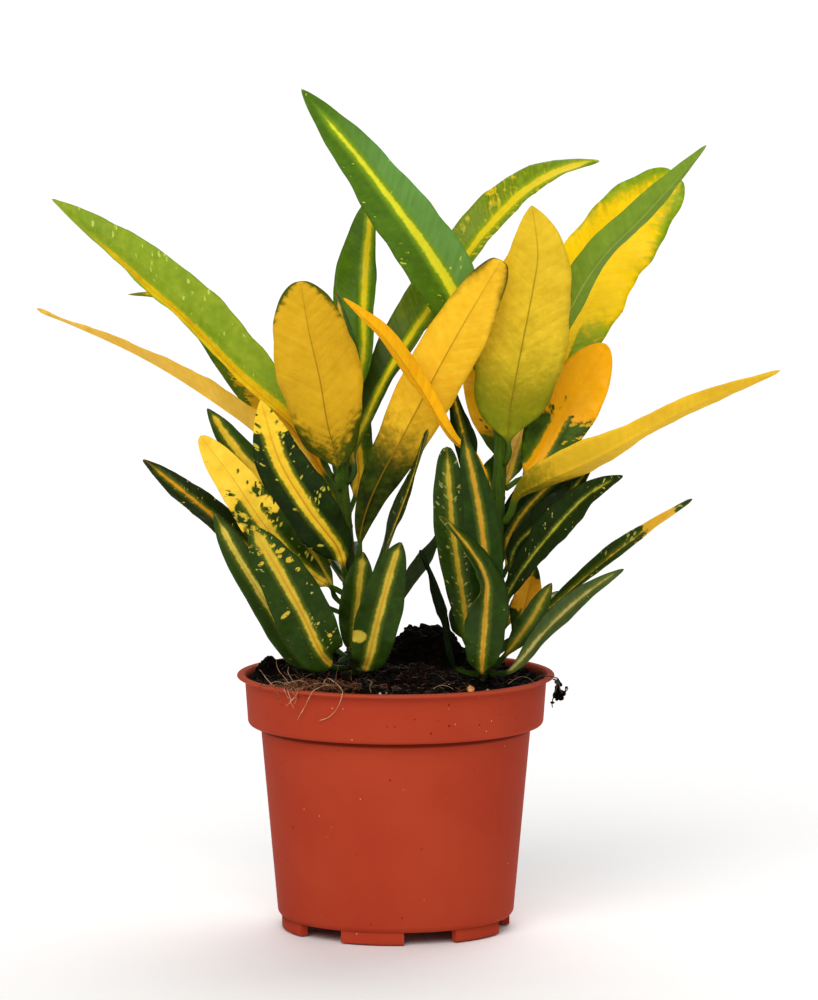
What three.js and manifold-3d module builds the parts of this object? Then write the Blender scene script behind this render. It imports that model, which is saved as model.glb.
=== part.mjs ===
// A croton with two stems in a round nursery pot with a rim band and six feet.
// Millimetres, +Z up. The origin is on the pot's axis, on the surface that its feet stand on.
// The pot's front is at -Y, its right at +X.
import * as THREE from 'three';
import { mergeVertices } from 'three/addons/utils/BufferGeometryUtils.js';
import Module from 'manifold-3d';

const wasm = await Module();
wasm.setup();

// ---------------------------------------------------------------- driving dimensions
const GAP = 0.3;                // clearance between neighbouring pieces

const RIM_RADIUS = 60;          // outside of the lip, the pot's 12 cm size
const POT_HEIGHT = 96.4;        // feet to the top of the lip
const LIP_THICKNESS = 1.2;
const BAND_TOP_RADIUS = 57;     // outside of the band under the lip
const BAND_LOW_RADIUS = 55.8;
const BAND_BOTTOM = 77.2;       // height where the band steps in to the body
const BODY_TOP_RADIUS = 51;
const BODY_LOW_RADIUS = 44.6;
const WALL = 1.2;
const FOOT_HEIGHT = 4.5;
const FLOOR_TOP = 6;            // inside face of the pot's floor
const FOOT_OUTER = 43;
const FOOT_INNER = 40;
const FOOT_SPAN = 32;           // degrees of the ring that one foot takes
const FOOT_COUNT = 6;
const FIRST_FOOT = -102;        // degrees from +X to the middle of the front foot
const DRAIN_RADIUS = 3.5;
const DRAIN_CIRCLE = 30;
const POT_SIDES = 48;

const SOIL_LEVEL = 94;          // height of the soil beside the rim
const SOIL_HEAP = 2.5;          // how much the middle stands above the edge
const SOIL_RINGS = 9;
const SOIL_SPOKES = 36;

const STEM_SIDES = 10;
const STEM_LOW_RADIUS = 3.4;    // where a stem goes into the soil
const STEM_TOP_RADIUS = 2.4;
const STEM_ROOT = 70;           // height of the stem's lower end, inside the soil

const BLADE_THICKNESS = 0.8;
const RIB_THICKNESS = 1.5;      // through the midrib
const PETIOLE_RADIUS = 1.1;
const PETIOLE_LENGTH = 9;
const BLADE_STEPS = 9;          // pieces along one blade
const BROAD_BLADE = 19;         // from this width on a blade is bowed across each half

const degrees = THREE.MathUtils.degToRad;

// ---------------------------------------------------------------- solids
function solidOf(geometry) {
  geometry.deleteAttribute('normal');
  geometry.deleteAttribute('uv');
  const merged = mergeVertices(geometry, 1e-4);
  return new wasm.Manifold(new wasm.Mesh({
    numProp: 3,
    vertProperties: merged.attributes.position.array,
    triVerts: new Uint32Array(merged.index.array),
  }));
}

function geometryOf(solid) {
  const mesh = solid.getMesh();
  const geometry = new THREE.BufferGeometry();
  geometry.setAttribute('position', new THREE.BufferAttribute(mesh.vertProperties, 3));
  geometry.setIndex(new THREE.BufferAttribute(mesh.triVerts, 1));
  return geometry;
}

// A closed skin over rings of points: each ring is joined to the next, and the two end rings are
// filled as a ladder between the ring's first and second half.
function skinOverRings(rings) {
  const count = rings[0].length;
  const half = count / 2;
  const positions = rings.flat().flatMap((point) => [point.x, point.y, point.z]);
  const index = [];
  const at = (ring, place) => ring * count + (place % count);
  for (let ring = 0; ring + 1 < rings.length; ring++) {
    for (let place = 0; place < count; place++) {
      const near = at(ring, place);
      const nearNext = at(ring, place + 1);
      const far = at(ring + 1, place);
      const farNext = at(ring + 1, place + 1);
      // the diagonal leans the same way on both faces of a blade
      if (place < half) index.push(near, nearNext, farNext, near, farNext, far);
      else index.push(near, nearNext, far, nearNext, farNext, far);
    }
  }
  const last = rings.length - 1;
  for (let place = 0; place + 1 < half; place++) {
    const mirror = count - 1 - place;
    index.push(at(0, place), at(0, mirror), at(0, mirror - 1));
    index.push(at(0, place), at(0, mirror - 1), at(0, place + 1));
    index.push(at(last, place), at(last, mirror - 1), at(last, mirror));
    index.push(at(last, place), at(last, place + 1), at(last, mirror - 1));
  }
  const geometry = new THREE.BufferGeometry();
  geometry.setAttribute('position', new THREE.Float32BufferAttribute(positions, 3));
  geometry.setIndex(index);
  return geometry;
}

// ---------------------------------------------------------------- pot
// A turned profile, given as [radius, height] pairs that close on themselves.
function turned(profile, sides) {
  const points = profile.map(([radius, height]) => new THREE.Vector2(radius, height));
  const geometry = new THREE.LatheGeometry([...points, points[0]], sides);
  return geometry.rotateX(Math.PI / 2);
}

function ringSegment(inner, outer, low, high, middle, span) {
  const shape = new THREE.Shape();
  const start = degrees(middle - span / 2);
  const end = degrees(middle + span / 2);
  shape.absarc(0, 0, outer, start, end, false);
  shape.absarc(0, 0, inner, end, start, true);
  const geometry = new THREE.ExtrudeGeometry(shape, {
    depth: high - low, bevelEnabled: false, curveSegments: 5,
  });
  return geometry.translate(0, 0, low);
}

function upright(radius, low, high, x, y) {
  return new THREE.CylinderGeometry(radius, radius, high - low, 20)
    .rotateX(Math.PI / 2)
    .translate(x, y, (low + high) / 2);
}

function potGeometry() {
  const lipUnder = POT_HEIGHT - LIP_THICKNESS;
  const stepIn = BAND_BOTTOM + WALL;
  const shell = [
    [0, FOOT_HEIGHT],
    [BODY_LOW_RADIUS - 1.3, FOOT_HEIGHT],
    [BODY_LOW_RADIUS, FLOOR_TOP],
    [BODY_TOP_RADIUS, BAND_BOTTOM],
    [BAND_LOW_RADIUS - 0.6, BAND_BOTTOM],
    [BAND_LOW_RADIUS, BAND_BOTTOM + 1],
    [BAND_TOP_RADIUS, lipUnder - 0.5],
    [BAND_TOP_RADIUS + 0.5, lipUnder],
    [RIM_RADIUS - 0.3, lipUnder],
    [RIM_RADIUS, POT_HEIGHT - 0.6],
    [RIM_RADIUS - 0.5, POT_HEIGHT],
    [BAND_TOP_RADIUS, POT_HEIGHT],
    [BAND_TOP_RADIUS - WALL, lipUnder - 0.8],
    [BAND_LOW_RADIUS - WALL, stepIn],
    [BODY_TOP_RADIUS - WALL, stepIn],
    [BODY_LOW_RADIUS - WALL, FLOOR_TOP],
    [0, FLOOR_TOP],
  ];
  let pot = solidOf(turned(shell, POT_SIDES));
  const footTop = (FOOT_HEIGHT + FLOOR_TOP) / 2;
  const spacing = 360 / FOOT_COUNT;
  for (let foot = 0; foot < FOOT_COUNT; foot++) {
    const middle = FIRST_FOOT + foot * spacing;
    pot = pot.add(solidOf(ringSegment(FOOT_INNER, FOOT_OUTER, 0, footTop, middle, FOOT_SPAN)));
    const drain = degrees(middle + spacing / 2);
    const x = DRAIN_CIRCLE * Math.cos(drain);
    const y = DRAIN_CIRCLE * Math.sin(drain);
    pot = pot.subtract(solidOf(upright(DRAIN_RADIUS, 0, FLOOR_TOP + 1, x, y)));
  }
  return geometryOf(pot.subtract(solidOf(upright(DRAIN_RADIUS, 0, FLOOR_TOP + 1, 0, 0))));
}

// ---------------------------------------------------------------- stems
// Each stem is a gentle curve through these points, thinning towards its top.
const LEFT_STEM = new THREE.CatmullRomCurve3([
  new THREE.Vector3(-14, -8, STEM_ROOT),
  new THREE.Vector3(-15, -8, 97),
  new THREE.Vector3(-17, -8, 130),
  new THREE.Vector3(-21, -8, 180),
]);
const RIGHT_STEM = new THREE.CatmullRomCurve3([
  new THREE.Vector3(32, -16, STEM_ROOT),
  new THREE.Vector3(34, -17, 97),
  new THREE.Vector3(37, -15, 140),
  new THREE.Vector3(40, -12, 194),
]);

function stemParameterAt(stem, height) {
  let low = 0;
  let high = 1;
  for (let halving = 0; halving < 24; halving++) {
    const middle = (low + high) / 2;
    if (stem.getPoint(middle).z < height) low = middle;
    else high = middle;
  }
  return low;
}

const stemRadius = (parameter) => THREE.MathUtils.lerp(STEM_LOW_RADIUS, STEM_TOP_RADIUS, parameter);

// Rings stay level, so that the stem's hole in the soil is a plain upright one.
function levelRing(centre, radius, sides) {
  return Array.from({ length: sides }, (_, side) => {
    const angle = (side / sides) * 2 * Math.PI;
    return new THREE.Vector3(
      centre.x + radius * Math.cos(angle), centre.y + radius * Math.sin(angle), centre.z);
  });
}

function stemGeometry(stem) {
  const rings = [];
  const steps = 14;
  for (let step = 0; step <= steps; step++) {
    const parameter = step / steps;
    rings.push(levelRing(stem.getPoint(parameter), stemRadius(parameter), STEM_SIDES));
  }
  const top = stem.getPoint(1);
  top.z += 2.5;
  rings.push(levelRing(top, STEM_TOP_RADIUS * 0.45, STEM_SIDES));
  return skinOverRings(rings);
}

// ---------------------------------------------------------------- soil
const SOIL_CLUMPS = [           // lumps on the soil: where, how high, how wide
  { x: 5, y: 25, height: 12, width: 7 },
  { x: 18, y: 24, height: 12, width: 7.5 },
  { x: -46, y: 8, height: 7, width: 7 },
  { x: 7, y: -20, height: 4, width: 11 },
  { x: -30, y: 34, height: 4, width: 12 },
];

// A fixed ripple that looks like loose soil: the sum of a few slanted waves.
const crumble = (x, y) => 0.7 * Math.sin(0.55 * x + 0.31 * y + 1)
  + 0.6 * Math.sin(-0.37 * x + 0.62 * y + 2.4) + 0.4 * Math.sin(0.93 * x - 0.74 * y);

function soilHeight(x, y, edge) {
  const inward = 1 - (Math.hypot(x, y) / edge) ** 2;
  let height = SOIL_LEVEL + SOIL_HEAP * inward + crumble(x, y) * Math.min(1, 4 * inward);
  for (const clump of SOIL_CLUMPS) {
    const away = Math.hypot(x - clump.x, y - clump.y) / clump.width;
    height += clump.height * Math.exp(-(away ** 4));
  }
  return height;
}

function soilGeometry() {
  const edge = BAND_TOP_RADIUS - WALL - 2 * GAP;
  const bandLow = BAND_LOW_RADIUS - WALL - 2 * GAP;
  const bodyTop = BODY_TOP_RADIUS - WALL - 2 * GAP;
  const bodyLow = BODY_LOW_RADIUS - WALL - 2 * GAP;
  const bandFloor = BAND_BOTTOM + WALL + GAP;
  const rings = [];
  const ring = (radius, heightAt) => {
    rings.push(Array.from({ length: SOIL_SPOKES }, (_, spoke) => {
      const angle = (spoke / SOIL_SPOKES) * 2 * Math.PI;
      const x = radius * Math.cos(angle);
      const y = radius * Math.sin(angle);
      return new THREE.Vector3(x, y, heightAt(x, y));
    }));
  };
  ring(0.5, () => FLOOR_TOP + GAP);
  ring(bodyLow, () => FLOOR_TOP + GAP);
  ring(bodyTop, () => bandFloor - 1);
  ring(bodyTop, () => bandFloor);
  ring(bandLow, () => bandFloor);
  for (let step = SOIL_RINGS; step >= 1; step--) {
    ring((edge * step) / SOIL_RINGS, (x, y) => soilHeight(x, y, edge));
  }
  ring(0.5, (x, y) => soilHeight(x, y, edge));
  let soil = solidOf(skinOverRings(rings));
  for (const stem of [LEFT_STEM, RIGHT_STEM]) {
    const low = stem.getPoint(0);
    const entry = stem.getPoint(stemParameterAt(stem, SOIL_LEVEL + 10));
    const centre = low.clone().lerp(entry, 0.5);
    const radius = STEM_LOW_RADIUS + GAP + low.clone().setZ(0).distanceTo(entry.setZ(0)) / 2;
    const hole = upright(radius, STEM_ROOT - GAP, POT_HEIGHT + 20, centre.x, centre.y);
    soil = soil.subtract(solidOf(hole));
  }
  return geometryOf(soil);
}

// ---------------------------------------------------------------- leaves
// Which way the upper face of a blade looks.
const FRONT = [0, -1, 0.15];
const BACK = [0, 1, 0.25];
const UP_FRONT = [-0.3, -0.75, 0.55];
const UP = [0, -0.2, 1];

// Young leaves are golden, the middle ones green with yellow, and the low ones dark green.
const GOLD = { color: 0xe0ab26, roughness: 0.45 };
const LIME = { color: 0x7f9a2a, roughness: 0.4 };
const FLECKED = { color: 0x9a9a24, roughness: 0.4 };
const DARK = { color: 0x1f3d17, roughness: 0.35 };

// Each leaf: the height of its petiole's foot on the stem, then points along its midrib from
// near that foot to the tip, its width, and where its upper face looks. tipFace turns the face
// on the way to the tip, fold lifts the two halves, wave ripples the edges.
const LEFT_LEAVES = [
  // the crown
  { at: 168, path: [[-22, -14, 178], [-25.5, -22, 194], [-28, -28, 210], [-32, -36, 229],
    [-35, -44, 248]], width: 28, face: BACK, fold: 12, widest: 0.48, taper: 0.42, look: GOLD },
  { at: 177, path: [[-17, -4, 191], [-15, 6, 215], [-15, 20, 244], [-10, 34, 274]], width: 17,
    face: [-0.2, -1, 0], petiole: 26, widest: 0.45, taper: 0.6, look: LIME },
  { at: 170, path: [[-17, -10, 189], [-17, -5, 215], [-22, -2, 241]], width: 9,
    face: [-0.5, -1, 0], look: DARK },
  { at: 172, path: [[-33, -6, 189], [-57, -3, 215], [-81, 0, 239], [-106, 4, 259],
    [-129, 6, 275]], width: 20, face: [-0.32, -0.7, 0.66], fold: 33, look: LIME },
  { at: 166, path: [[-37, 12, 185], [-62, 27, 214], [-84, 43, 234], [-103, 52, 236]], width: 19,
    face: UP_FRONT, widest: 0.34, taper: 1.2, look: LIME },
  { at: 160, path: [[-32, -4, 173], [-58, 12, 191], [-94, 41, 211], [-139, 75, 228]], width: 20,
    face: [0, 0.75, 0.6], tipFace: [0.1, 0.3, 0.95], widest: 0.36, wave: 0.5, look: GOLD },
  { at: 146, path: [[-36, 0, 156], [-57, 4, 177], [-71, 6, 196]], width: 13,
    face: [0.3, -1, 0.3], look: DARK },
  { at: 140, path: [[-13, -13, 151], [-9, -16, 165], [4, -24, 191], [22, -36, 226],
    [39, -46, 256]], width: 23, face: [0.2, 1, 0.3], widest: 0.6, taper: 0.45, look: GOLD },
  { at: 168, path: [[-16, 1, 182], [-8, 10, 203], [7, 20, 229], [38, 34, 269],
    [56, 46, 282], [78, 60, 286]], width: 17, face: [-0.2, -0.8, 0.5], look: LIME },
  // half-way up
  { at: 133, path: [[-21, -20, 145], [-32, -27, 161], [-43, -31, 180], [-50, -33, 203]],
    width: 22, face: FRONT, widest: 0.45, look: FLECKED },
  { at: 128, path: [[-36, -24, 140], [-50, -38, 159], [-60, -44, 175], [-72, -46, 191]],
    width: 17, face: FRONT, taper: 0.45, look: FLECKED },
  { at: 120, path: [[-40, -18, 131], [-56, -26, 148], [-75, -28, 165], [-94, -26, 180]],
    width: 14, face: [-0.3, -0.5, 0.8], look: DARK },
  { at: 124, path: [[-24, -10, 130], [-29, -10, 138], [-33, -9, 147]], width: 9,
    face: FRONT, look: DARK },
  // low by the soil
  { at: 99.5, path: [[-33, -24, 103], [-45, -35, 123], [-57.5, -41, 144], [-67, -44, 162]],
    width: 13.5, face: [0.2, -1, 0.1], petiole: 18, widest: 0.42, taper: 0.5, look: DARK },
  { at: 104, path: [[-25, -34, 105], [-35.5, -46, 127], [-46, -54, 147], [-53, -58, 159]],
    width: 22, face: FRONT, widest: 0.4, taper: 0.5, petiole: 22, look: DARK },
  { at: 99, path: [[-11, -32, 103], [-6, -41, 124], [-1, -47, 143], [2, -50, 152]], width: 17,
    face: FRONT, widest: 0.42, taper: 0.48, petiole: 19, look: DARK },
  { at: 108, path: [[-16, -22, 108], [-14, -28, 128], [-12, -30, 146]], width: 14,
    face: FRONT, look: DARK },
  { at: 116, path: [[-9, -14, 129], [-3, -20, 147], [6, -27, 172], [12, -31, 192]], width: 10,
    face: [-1, -0.3, 0.1], look: DARK },
  { at: 105, path: [[-6, -2, 114], [6, 6, 129], [21, 16, 154]], width: 13,
    face: [-0.7, -0.3, 0.6], look: DARK },
  // the far side
  { at: 150, path: [[-24, 4, 159], [-37, 30, 174], [-50, 62, 182]], width: 19,
    face: UP_FRONT, look: FLECKED },
  { at: 134, path: [[-27, 4, 142], [-44, 36, 150], [-60, 74, 146]], width: 18,
    face: UP, look: DARK },
  { at: 122, path: [[-18, 4, 130], [-22, 36, 139], [-32, 72, 131]], width: 18,
    face: UP, look: DARK },
  { at: 103, path: [[-25, 0, 108], [-38, 16, 116], [-50, 34, 116]], width: 15,
    face: UP, look: DARK },
  { at: 157, path: [[-14, 5, 168], [-17, 26, 190], [-25, 48, 209]], width: 17,
    face: UP_FRONT, look: FLECKED },
];

const RIGHT_LEAVES = [
  // the crown
  { at: 186, path: [[36, -4, 211], [20, -5, 244], [-8, -8, 284], [-35, -12, 317]], width: 22,
    face: [-0.3, -0.9, 0.4], look: LIME },
  { at: 165, path: [[31, -24, 180], [21, -32, 189], [9, -42, 209], [-4, -52, 228],
    [-19, -60, 243]], width: 10, face: [0.3, 1, 0], fold: 50, widest: 0.62, look: GOLD },
  { at: 178, path: [[42, -17, 192], [45.5, -25, 215], [50, -33, 240], [52.5, -39, 258],
    [50, -46, 276]], width: 34, face: BACK, fold: 10, widest: 0.4, taper: 0.6, look: GOLD },
  { at: 190, path: [[50, -9, 206], [72, -14, 250], [91, -20, 271], [115, -26, 297]], width: 13,
    face: [0.4, 0.45, 0.8], fold: 30, look: LIME },
  { at: 188, path: [[52, 4, 198], [65, 18, 222], [77, 28, 248], [92, 36, 267],
    [107, 42, 282]], width: 31,
    face: FRONT, fold: 10, widest: 0.62, taper: 0.4, look: GOLD },
  { at: 156, path: [[46, -19, 167], [57, -26, 173], [75, -39, 183], [108, -58, 203],
    [140, -76, 218]], width: 16, face: [0, 0.6, 0.8], wave: 0.4, widest: 0.4, look: GOLD },
  { at: 168, path: [[51, -8, 176], [61, -4, 192], [69, -2, 205], [79, -1, 221]], width: 24,
    face: FRONT, taper: 0.5, look: GOLD },
  { at: 174, path: [[38, -2, 180], [35, 10, 197], [32, 18, 209], [26, 24, 222]], width: 17,
    face: FRONT, look: GOLD },
  { at: 152, path: [[31, -16, 164], [27, -14, 182], [24, -14, 194], [21, -16, 207]], width: 9,
    face: [-0.4, -1, 0], look: DARK },
  // low in front
  { at: 102, path: [[28, -29, 110], [25, -34, 130], [21, -37, 157], [19, -36, 186]], width: 14.5,
    face: FRONT, widest: 0.6, taper: 0.5, look: DARK },
  { at: 108, path: [[34, -38, 121], [33, -44, 147], [30, -46, 169], [25, -43, 192]], width: 14,
    face: FRONT, look: DARK },
  { at: 98, path: [[32, -36, 102], [33, -47, 123], [33, -52, 139], [25, -57, 153],
    [16, -60, 163]], width: 17, face: FRONT, tipFace: [0.74, -0.2, 0.67], petiole: 15,
    widest: 0.38, taper: 0.7, look: DARK },
  // half-way up, to the right
  { at: 119, path: [[43, -22, 131], [56, -32, 151], [72, -40, 169], [84, -44, 176]], width: 14,
    face: [-0.4, -0.8, 0.4], look: DARK },
  { at: 130, path: [[45, -15, 146], [58, -20, 159], [73, -24, 177]], width: 12,
    face: [-0.4, -0.8, 0.4], look: DARK },
  { at: 126, path: [[47, -8, 142], [63, -10, 159], [79, -11, 172]], width: 12,
    face: [-0.4, -0.8, 0.4], look: DARK },
  { at: 138, path: [[44, 0, 151], [54, 8, 163], [68, 14, 174]], width: 17,
    face: FRONT, look: DARK },
  // low by the soil
  { at: 106, path: [[45, -12, 113], [49, -13, 126], [52, -14, 140]], width: 11,
    face: FRONT, look: DARK },
  { at: 102, path: [[44, -28, 111], [51, -33, 122], [58, -35, 135]], width: 9,
    face: FRONT, look: DARK },
  { at: 109, path: [[50, -20, 117], [73, -20, 137], [91, -18, 151], [111, -14, 164]], width: 9,
    face: [-0.2, -0.45, 0.85], wave: 0.5, look: FLECKED },
  { at: 98.5, path: [[43, -34, 102], [57, -46, 120], [71, -54, 134], [84, -58, 143]], width: 9.5,
    face: [-0.3, -0.75, 0.5], petiole: 15, wave: 0.5, look: DARK },
  { at: 98.3, path: [[22, -25, 102], [19, -32, 121], [15, -37, 135], [9, -40, 148]], width: 11,
    face: [-0.9, -0.35, 0], petiole: 11, look: DARK },
  { at: 109, path: [[29, -22, 112], [27, -24, 116], [23, -24, 127]], width: 12,
    face: FRONT, look: DARK },
  // the far side
  { at: 162, path: [[42, 2, 172], [50, 32, 189], [60, 64, 196]], width: 20,
    face: UP_FRONT, look: FLECKED },
  { at: 146, path: [[36, -2, 156], [33, 30, 168], [31, 64, 165]], width: 19,
    face: UP_FRONT, look: FLECKED },
  { at: 132, path: [[44, -2, 140], [58, 28, 151], [70, 60, 152]], width: 18,
    face: UP, look: DARK },
  { at: 120, path: [[34, -4, 128], [29, 28, 138], [26, 64, 132]], width: 18,
    face: UP, look: DARK },
  { at: 112, path: [[44, -4, 118], [56, 18, 124], [64, 42, 118]], width: 15,
    face: UP, look: DARK },
];

// How wide the blade is at a share of its length, as a share of its full width. A small taper
// gives blunt ends and near-parallel edges, a large one a slender point.
function bladeOutline(share, widest, taper) {
  const bent = share ** (Math.log(0.5) / Math.log(widest));
  return Math.max(0, Math.sin(Math.PI * bent)) ** taper;
}

// One leaf as a single body: a petiole that widens into a blade with a raised rib below.
function leafGeometry(stem, leaf) {
  const { at, path, width, face, tipFace = face, fold = 16, wave = 1 } = leaf;
  const { widest = 0.5, taper = 0.65, petiole = PETIOLE_LENGTH } = leaf;
  const parameter = stemParameterAt(stem, at);
  const root = stem.getPoint(parameter);
  const first = new THREE.Vector3(...path[0]);
  const outward = first.clone().sub(root).setZ(0);
  const climb = Math.atan2(first.z - root.z, outward.length());
  const lean = THREE.MathUtils.clamp(climb, degrees(15), degrees(50));
  outward.normalize();
  const seat = stemRadius(parameter) + 1.8 * GAP + (RIB_THICKNESS / 2) * Math.sin(lean);
  const foot = root.clone().addScaledVector(outward, seat);
  const heel = foot.clone().addScaledVector(outward, 3 * Math.cos(lean));
  heel.z += 3 * Math.sin(lean);
  const curve = new THREE.CatmullRomCurve3(
    [foot, heel, ...path.map((point) => new THREE.Vector3(...point))], false, 'centripetal');
  const petioleShare = Math.min(0.3, petiole / curve.getLength());
  const across = width >= BROAD_BLADE ? [-1, -0.5, 0, 0.5, 1] : [-1, 0, 1];
  const ripples = Math.max(2, curve.getLength() / 60);
  const stations = [0, petioleShare * 0.5];
  for (let step = 0; step <= BLADE_STEPS; step++) {
    stations.push(petioleShare + (1 - petioleShare) * (step / BLADE_STEPS));
  }
  const rings = stations.map((station) => {
    const share = Math.max(0, (station - petioleShare) / (1 - petioleShare));
    const centre = curve.getPointAt(station);
    const along = curve.getTangentAt(station);
    const up = new THREE.Vector3(...face).lerp(new THREE.Vector3(...tipFace), share);
    up.addScaledVector(along, -up.dot(along)).normalize();
    const side = up.clone().cross(along);
    const least = THREE.MathUtils.lerp(PETIOLE_RADIUS, 0.35, share);
    const reach = Math.max(least, bladeOutline(share, widest, taper) * (width / 2));
    const openness = reach / (width / 2);
    const rise = Math.sin(degrees(fold)) * openness;
    const point = (place, thickness) => {
      const sideways = Math.abs(place);
      const ripple = wave * openness * place ** 2
        * Math.sin(2 * Math.PI * ripples * share + (place > 0 ? 0.8 : 3.4));
      const height = rise * reach * sideways ** 1.3 + ripple + thickness;
      return centre.clone()
        .addScaledVector(side, place * reach * Math.cos(degrees(fold) * sideways))
        .addScaledVector(up, height);
    };
    const rib = THREE.MathUtils.lerp(RIB_THICKNESS, BLADE_THICKNESS, share);
    const edge = THREE.MathUtils.lerp(RIB_THICKNESS, BLADE_THICKNESS, Math.min(1, 6 * share));
    const upper = across.map((place) => point(place, BLADE_THICKNESS / 2));
    const lower = across.map((place) => point(place,
      BLADE_THICKNESS / 2 - (place === 0 ? rib : edge)));
    return [...lower, ...upper.reverse()];
  });
  return skinOverRings(rings);
}

// ---------------------------------------------------------------- the potted plant
const croton = new THREE.Group();

function addPiece(name, geometry, { color, roughness, metalness = 0 }) {
  const material = new THREE.MeshStandardMaterial({ color, roughness, metalness });
  const mesh = new THREE.Mesh(geometry, material);
  mesh.name = name;
  croton.add(mesh);
}

const numbered = (prefix, place) => `${prefix}_${String(place + 1).padStart(2, '0')}`;

addPiece('pot', potGeometry(), { color: 0xa83c28, roughness: 0.5 });
addPiece('soil', soilGeometry(), { color: 0x20140e, roughness: 0.95 });
addPiece('left_stem', stemGeometry(LEFT_STEM), { color: 0x3f5a24, roughness: 0.6 });
addPiece('right_stem', stemGeometry(RIGHT_STEM), { color: 0x3f5a24, roughness: 0.6 });
LEFT_LEAVES.forEach((leaf, place) => {
  addPiece(numbered('left_leaf', place), leafGeometry(LEFT_STEM, leaf), leaf.look);
});
RIGHT_LEAVES.forEach((leaf, place) => {
  addPiece(numbered('right_leaf', place), leafGeometry(RIGHT_STEM, leaf), leaf.look);
});

export default croton;
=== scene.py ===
# %% [markdown]
# # A potted croton
# A young croton with two stems and about fifty narrow leaves stands in a round plastic nursery
# pot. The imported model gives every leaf, both stems, the soil and the pot as plain solids.
# This notebook dresses them: leaves with their yellow and green patterns, loose soil with roots,
# and moulded terracotta-coloured plastic. Everything stays where the solids are.

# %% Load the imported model
import math

import bmesh
import bpy
import numpy as np
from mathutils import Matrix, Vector, noise
from mathutils.bvhtree import BVHTree


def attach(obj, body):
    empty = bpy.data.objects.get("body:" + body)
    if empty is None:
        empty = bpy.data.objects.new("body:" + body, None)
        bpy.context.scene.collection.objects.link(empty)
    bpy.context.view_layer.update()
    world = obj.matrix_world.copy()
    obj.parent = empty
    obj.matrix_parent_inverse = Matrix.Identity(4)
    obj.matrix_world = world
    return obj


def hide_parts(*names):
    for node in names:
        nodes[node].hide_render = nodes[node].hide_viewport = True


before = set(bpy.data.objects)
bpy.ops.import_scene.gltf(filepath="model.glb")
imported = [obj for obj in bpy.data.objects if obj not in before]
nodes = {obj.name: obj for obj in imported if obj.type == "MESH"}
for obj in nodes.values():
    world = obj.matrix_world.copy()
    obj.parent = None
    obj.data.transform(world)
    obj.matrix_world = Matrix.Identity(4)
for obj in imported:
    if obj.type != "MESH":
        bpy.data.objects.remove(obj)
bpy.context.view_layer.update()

MM = 0.001


def add_object(name, data):
    """A new object in the scene, at the origin."""
    made = bpy.data.objects.new(name, data)
    bpy.context.scene.collection.objects.link(made)
    return made


# %% [markdown]
# ## Where the camera stands
# The picture was taken from a little above the leaves, from far away with a long lens, so the
# pot's rim is a narrow ellipse and upright lines stay upright. A long lens from 2.4 m does the
# same.

# %% Camera
IMAGE_HEIGHT = 1000             # pixels
FOCAL_PIXELS = 6420
SENSOR = 36                     # mm
camera = add_object("camera", bpy.data.cameras.new("camera"))
camera.location = Vector((5, -2400, 433.7)) * MM
looking_at = Vector((5, 0, 162)) * MM
camera.rotation_euler = (looking_at - camera.location).to_track_quat("-Z", "Y").to_euler()
camera.data.sensor_width = SENSOR
camera.data.lens = FOCAL_PIXELS / IMAGE_HEIGHT * SENSOR
camera.data.clip_start = 0.1
camera.data.clip_end = 60
bpy.context.scene.camera = camera
print("lens in mm:", round(camera.data.lens, 1))

# %% [markdown]
# ## Studio light
# The light in the picture is soft and comes from the front and above, with hardly any shadow.
# Wide suns do that from any distance, so the pale floor stays evenly bright up to the horizon.
# A pale world fills the shadows.

# %% Lights
def add_sun(name, direction, strength, softness, colour=(1, 1, 1)):
    lamp = bpy.data.lights.new(name, "SUN")
    lamp.energy = strength
    lamp.angle = math.radians(softness)
    lamp.color = colour
    add_object(name, lamp).rotation_euler = Vector(direction).to_track_quat("-Z", "Y").to_euler()


add_sun("key_light", (0.22, 0.95, -0.78), 1.88, 42, (1, 0.985, 0.96))
add_sun("fill_light", (-0.3, 0.95, -0.2), 0.25, 50)
add_sun("back_light", (-0.2, -0.7, -0.8), 1.6, 60)
world = bpy.data.worlds.new("studio")
world.use_nodes = True
background = world.node_tree.nodes["Background"].inputs
background["Color"].default_value = (1, 1, 1, 1)
background["Strength"].default_value = 0.3
bpy.context.scene.world = world
bpy.context.scene.view_settings.view_transform = "Standard"

# %% [markdown]
# ## Writing materials as sums
# A pattern on a leaf is arithmetic: how far from the midrib, plus some noise, above a limit.
# `Value` wraps a socket, so that `1 - mask * 0.5` adds the Math nodes by itself. `Paint` holds
# the material being mixed and adds any other node through one method.

# %% Value and Paint
class Value:
    """A number, colour or vector somewhere in a material."""

    def __init__(self, paint, socket):
        self.paint = paint
        self.socket = socket

    def __add__(self, other):
        return self.paint.math("ADD", self, other)

    def __sub__(self, other):
        return self.paint.math("SUBTRACT", self, other)

    def __rsub__(self, other):
        return self.paint.math("SUBTRACT", other, self)

    def __mul__(self, other):
        return self.paint.math("MULTIPLY", self, other)

    def __truediv__(self, other):
        return self.paint.math("DIVIDE", self, other)

    def __pow__(self, other):
        return self.paint.math("POWER", self, other)

    def __abs__(self):
        return self.paint.math("ABSOLUTE", self)

    __radd__ = __add__
    __rmul__ = __mul__


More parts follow.
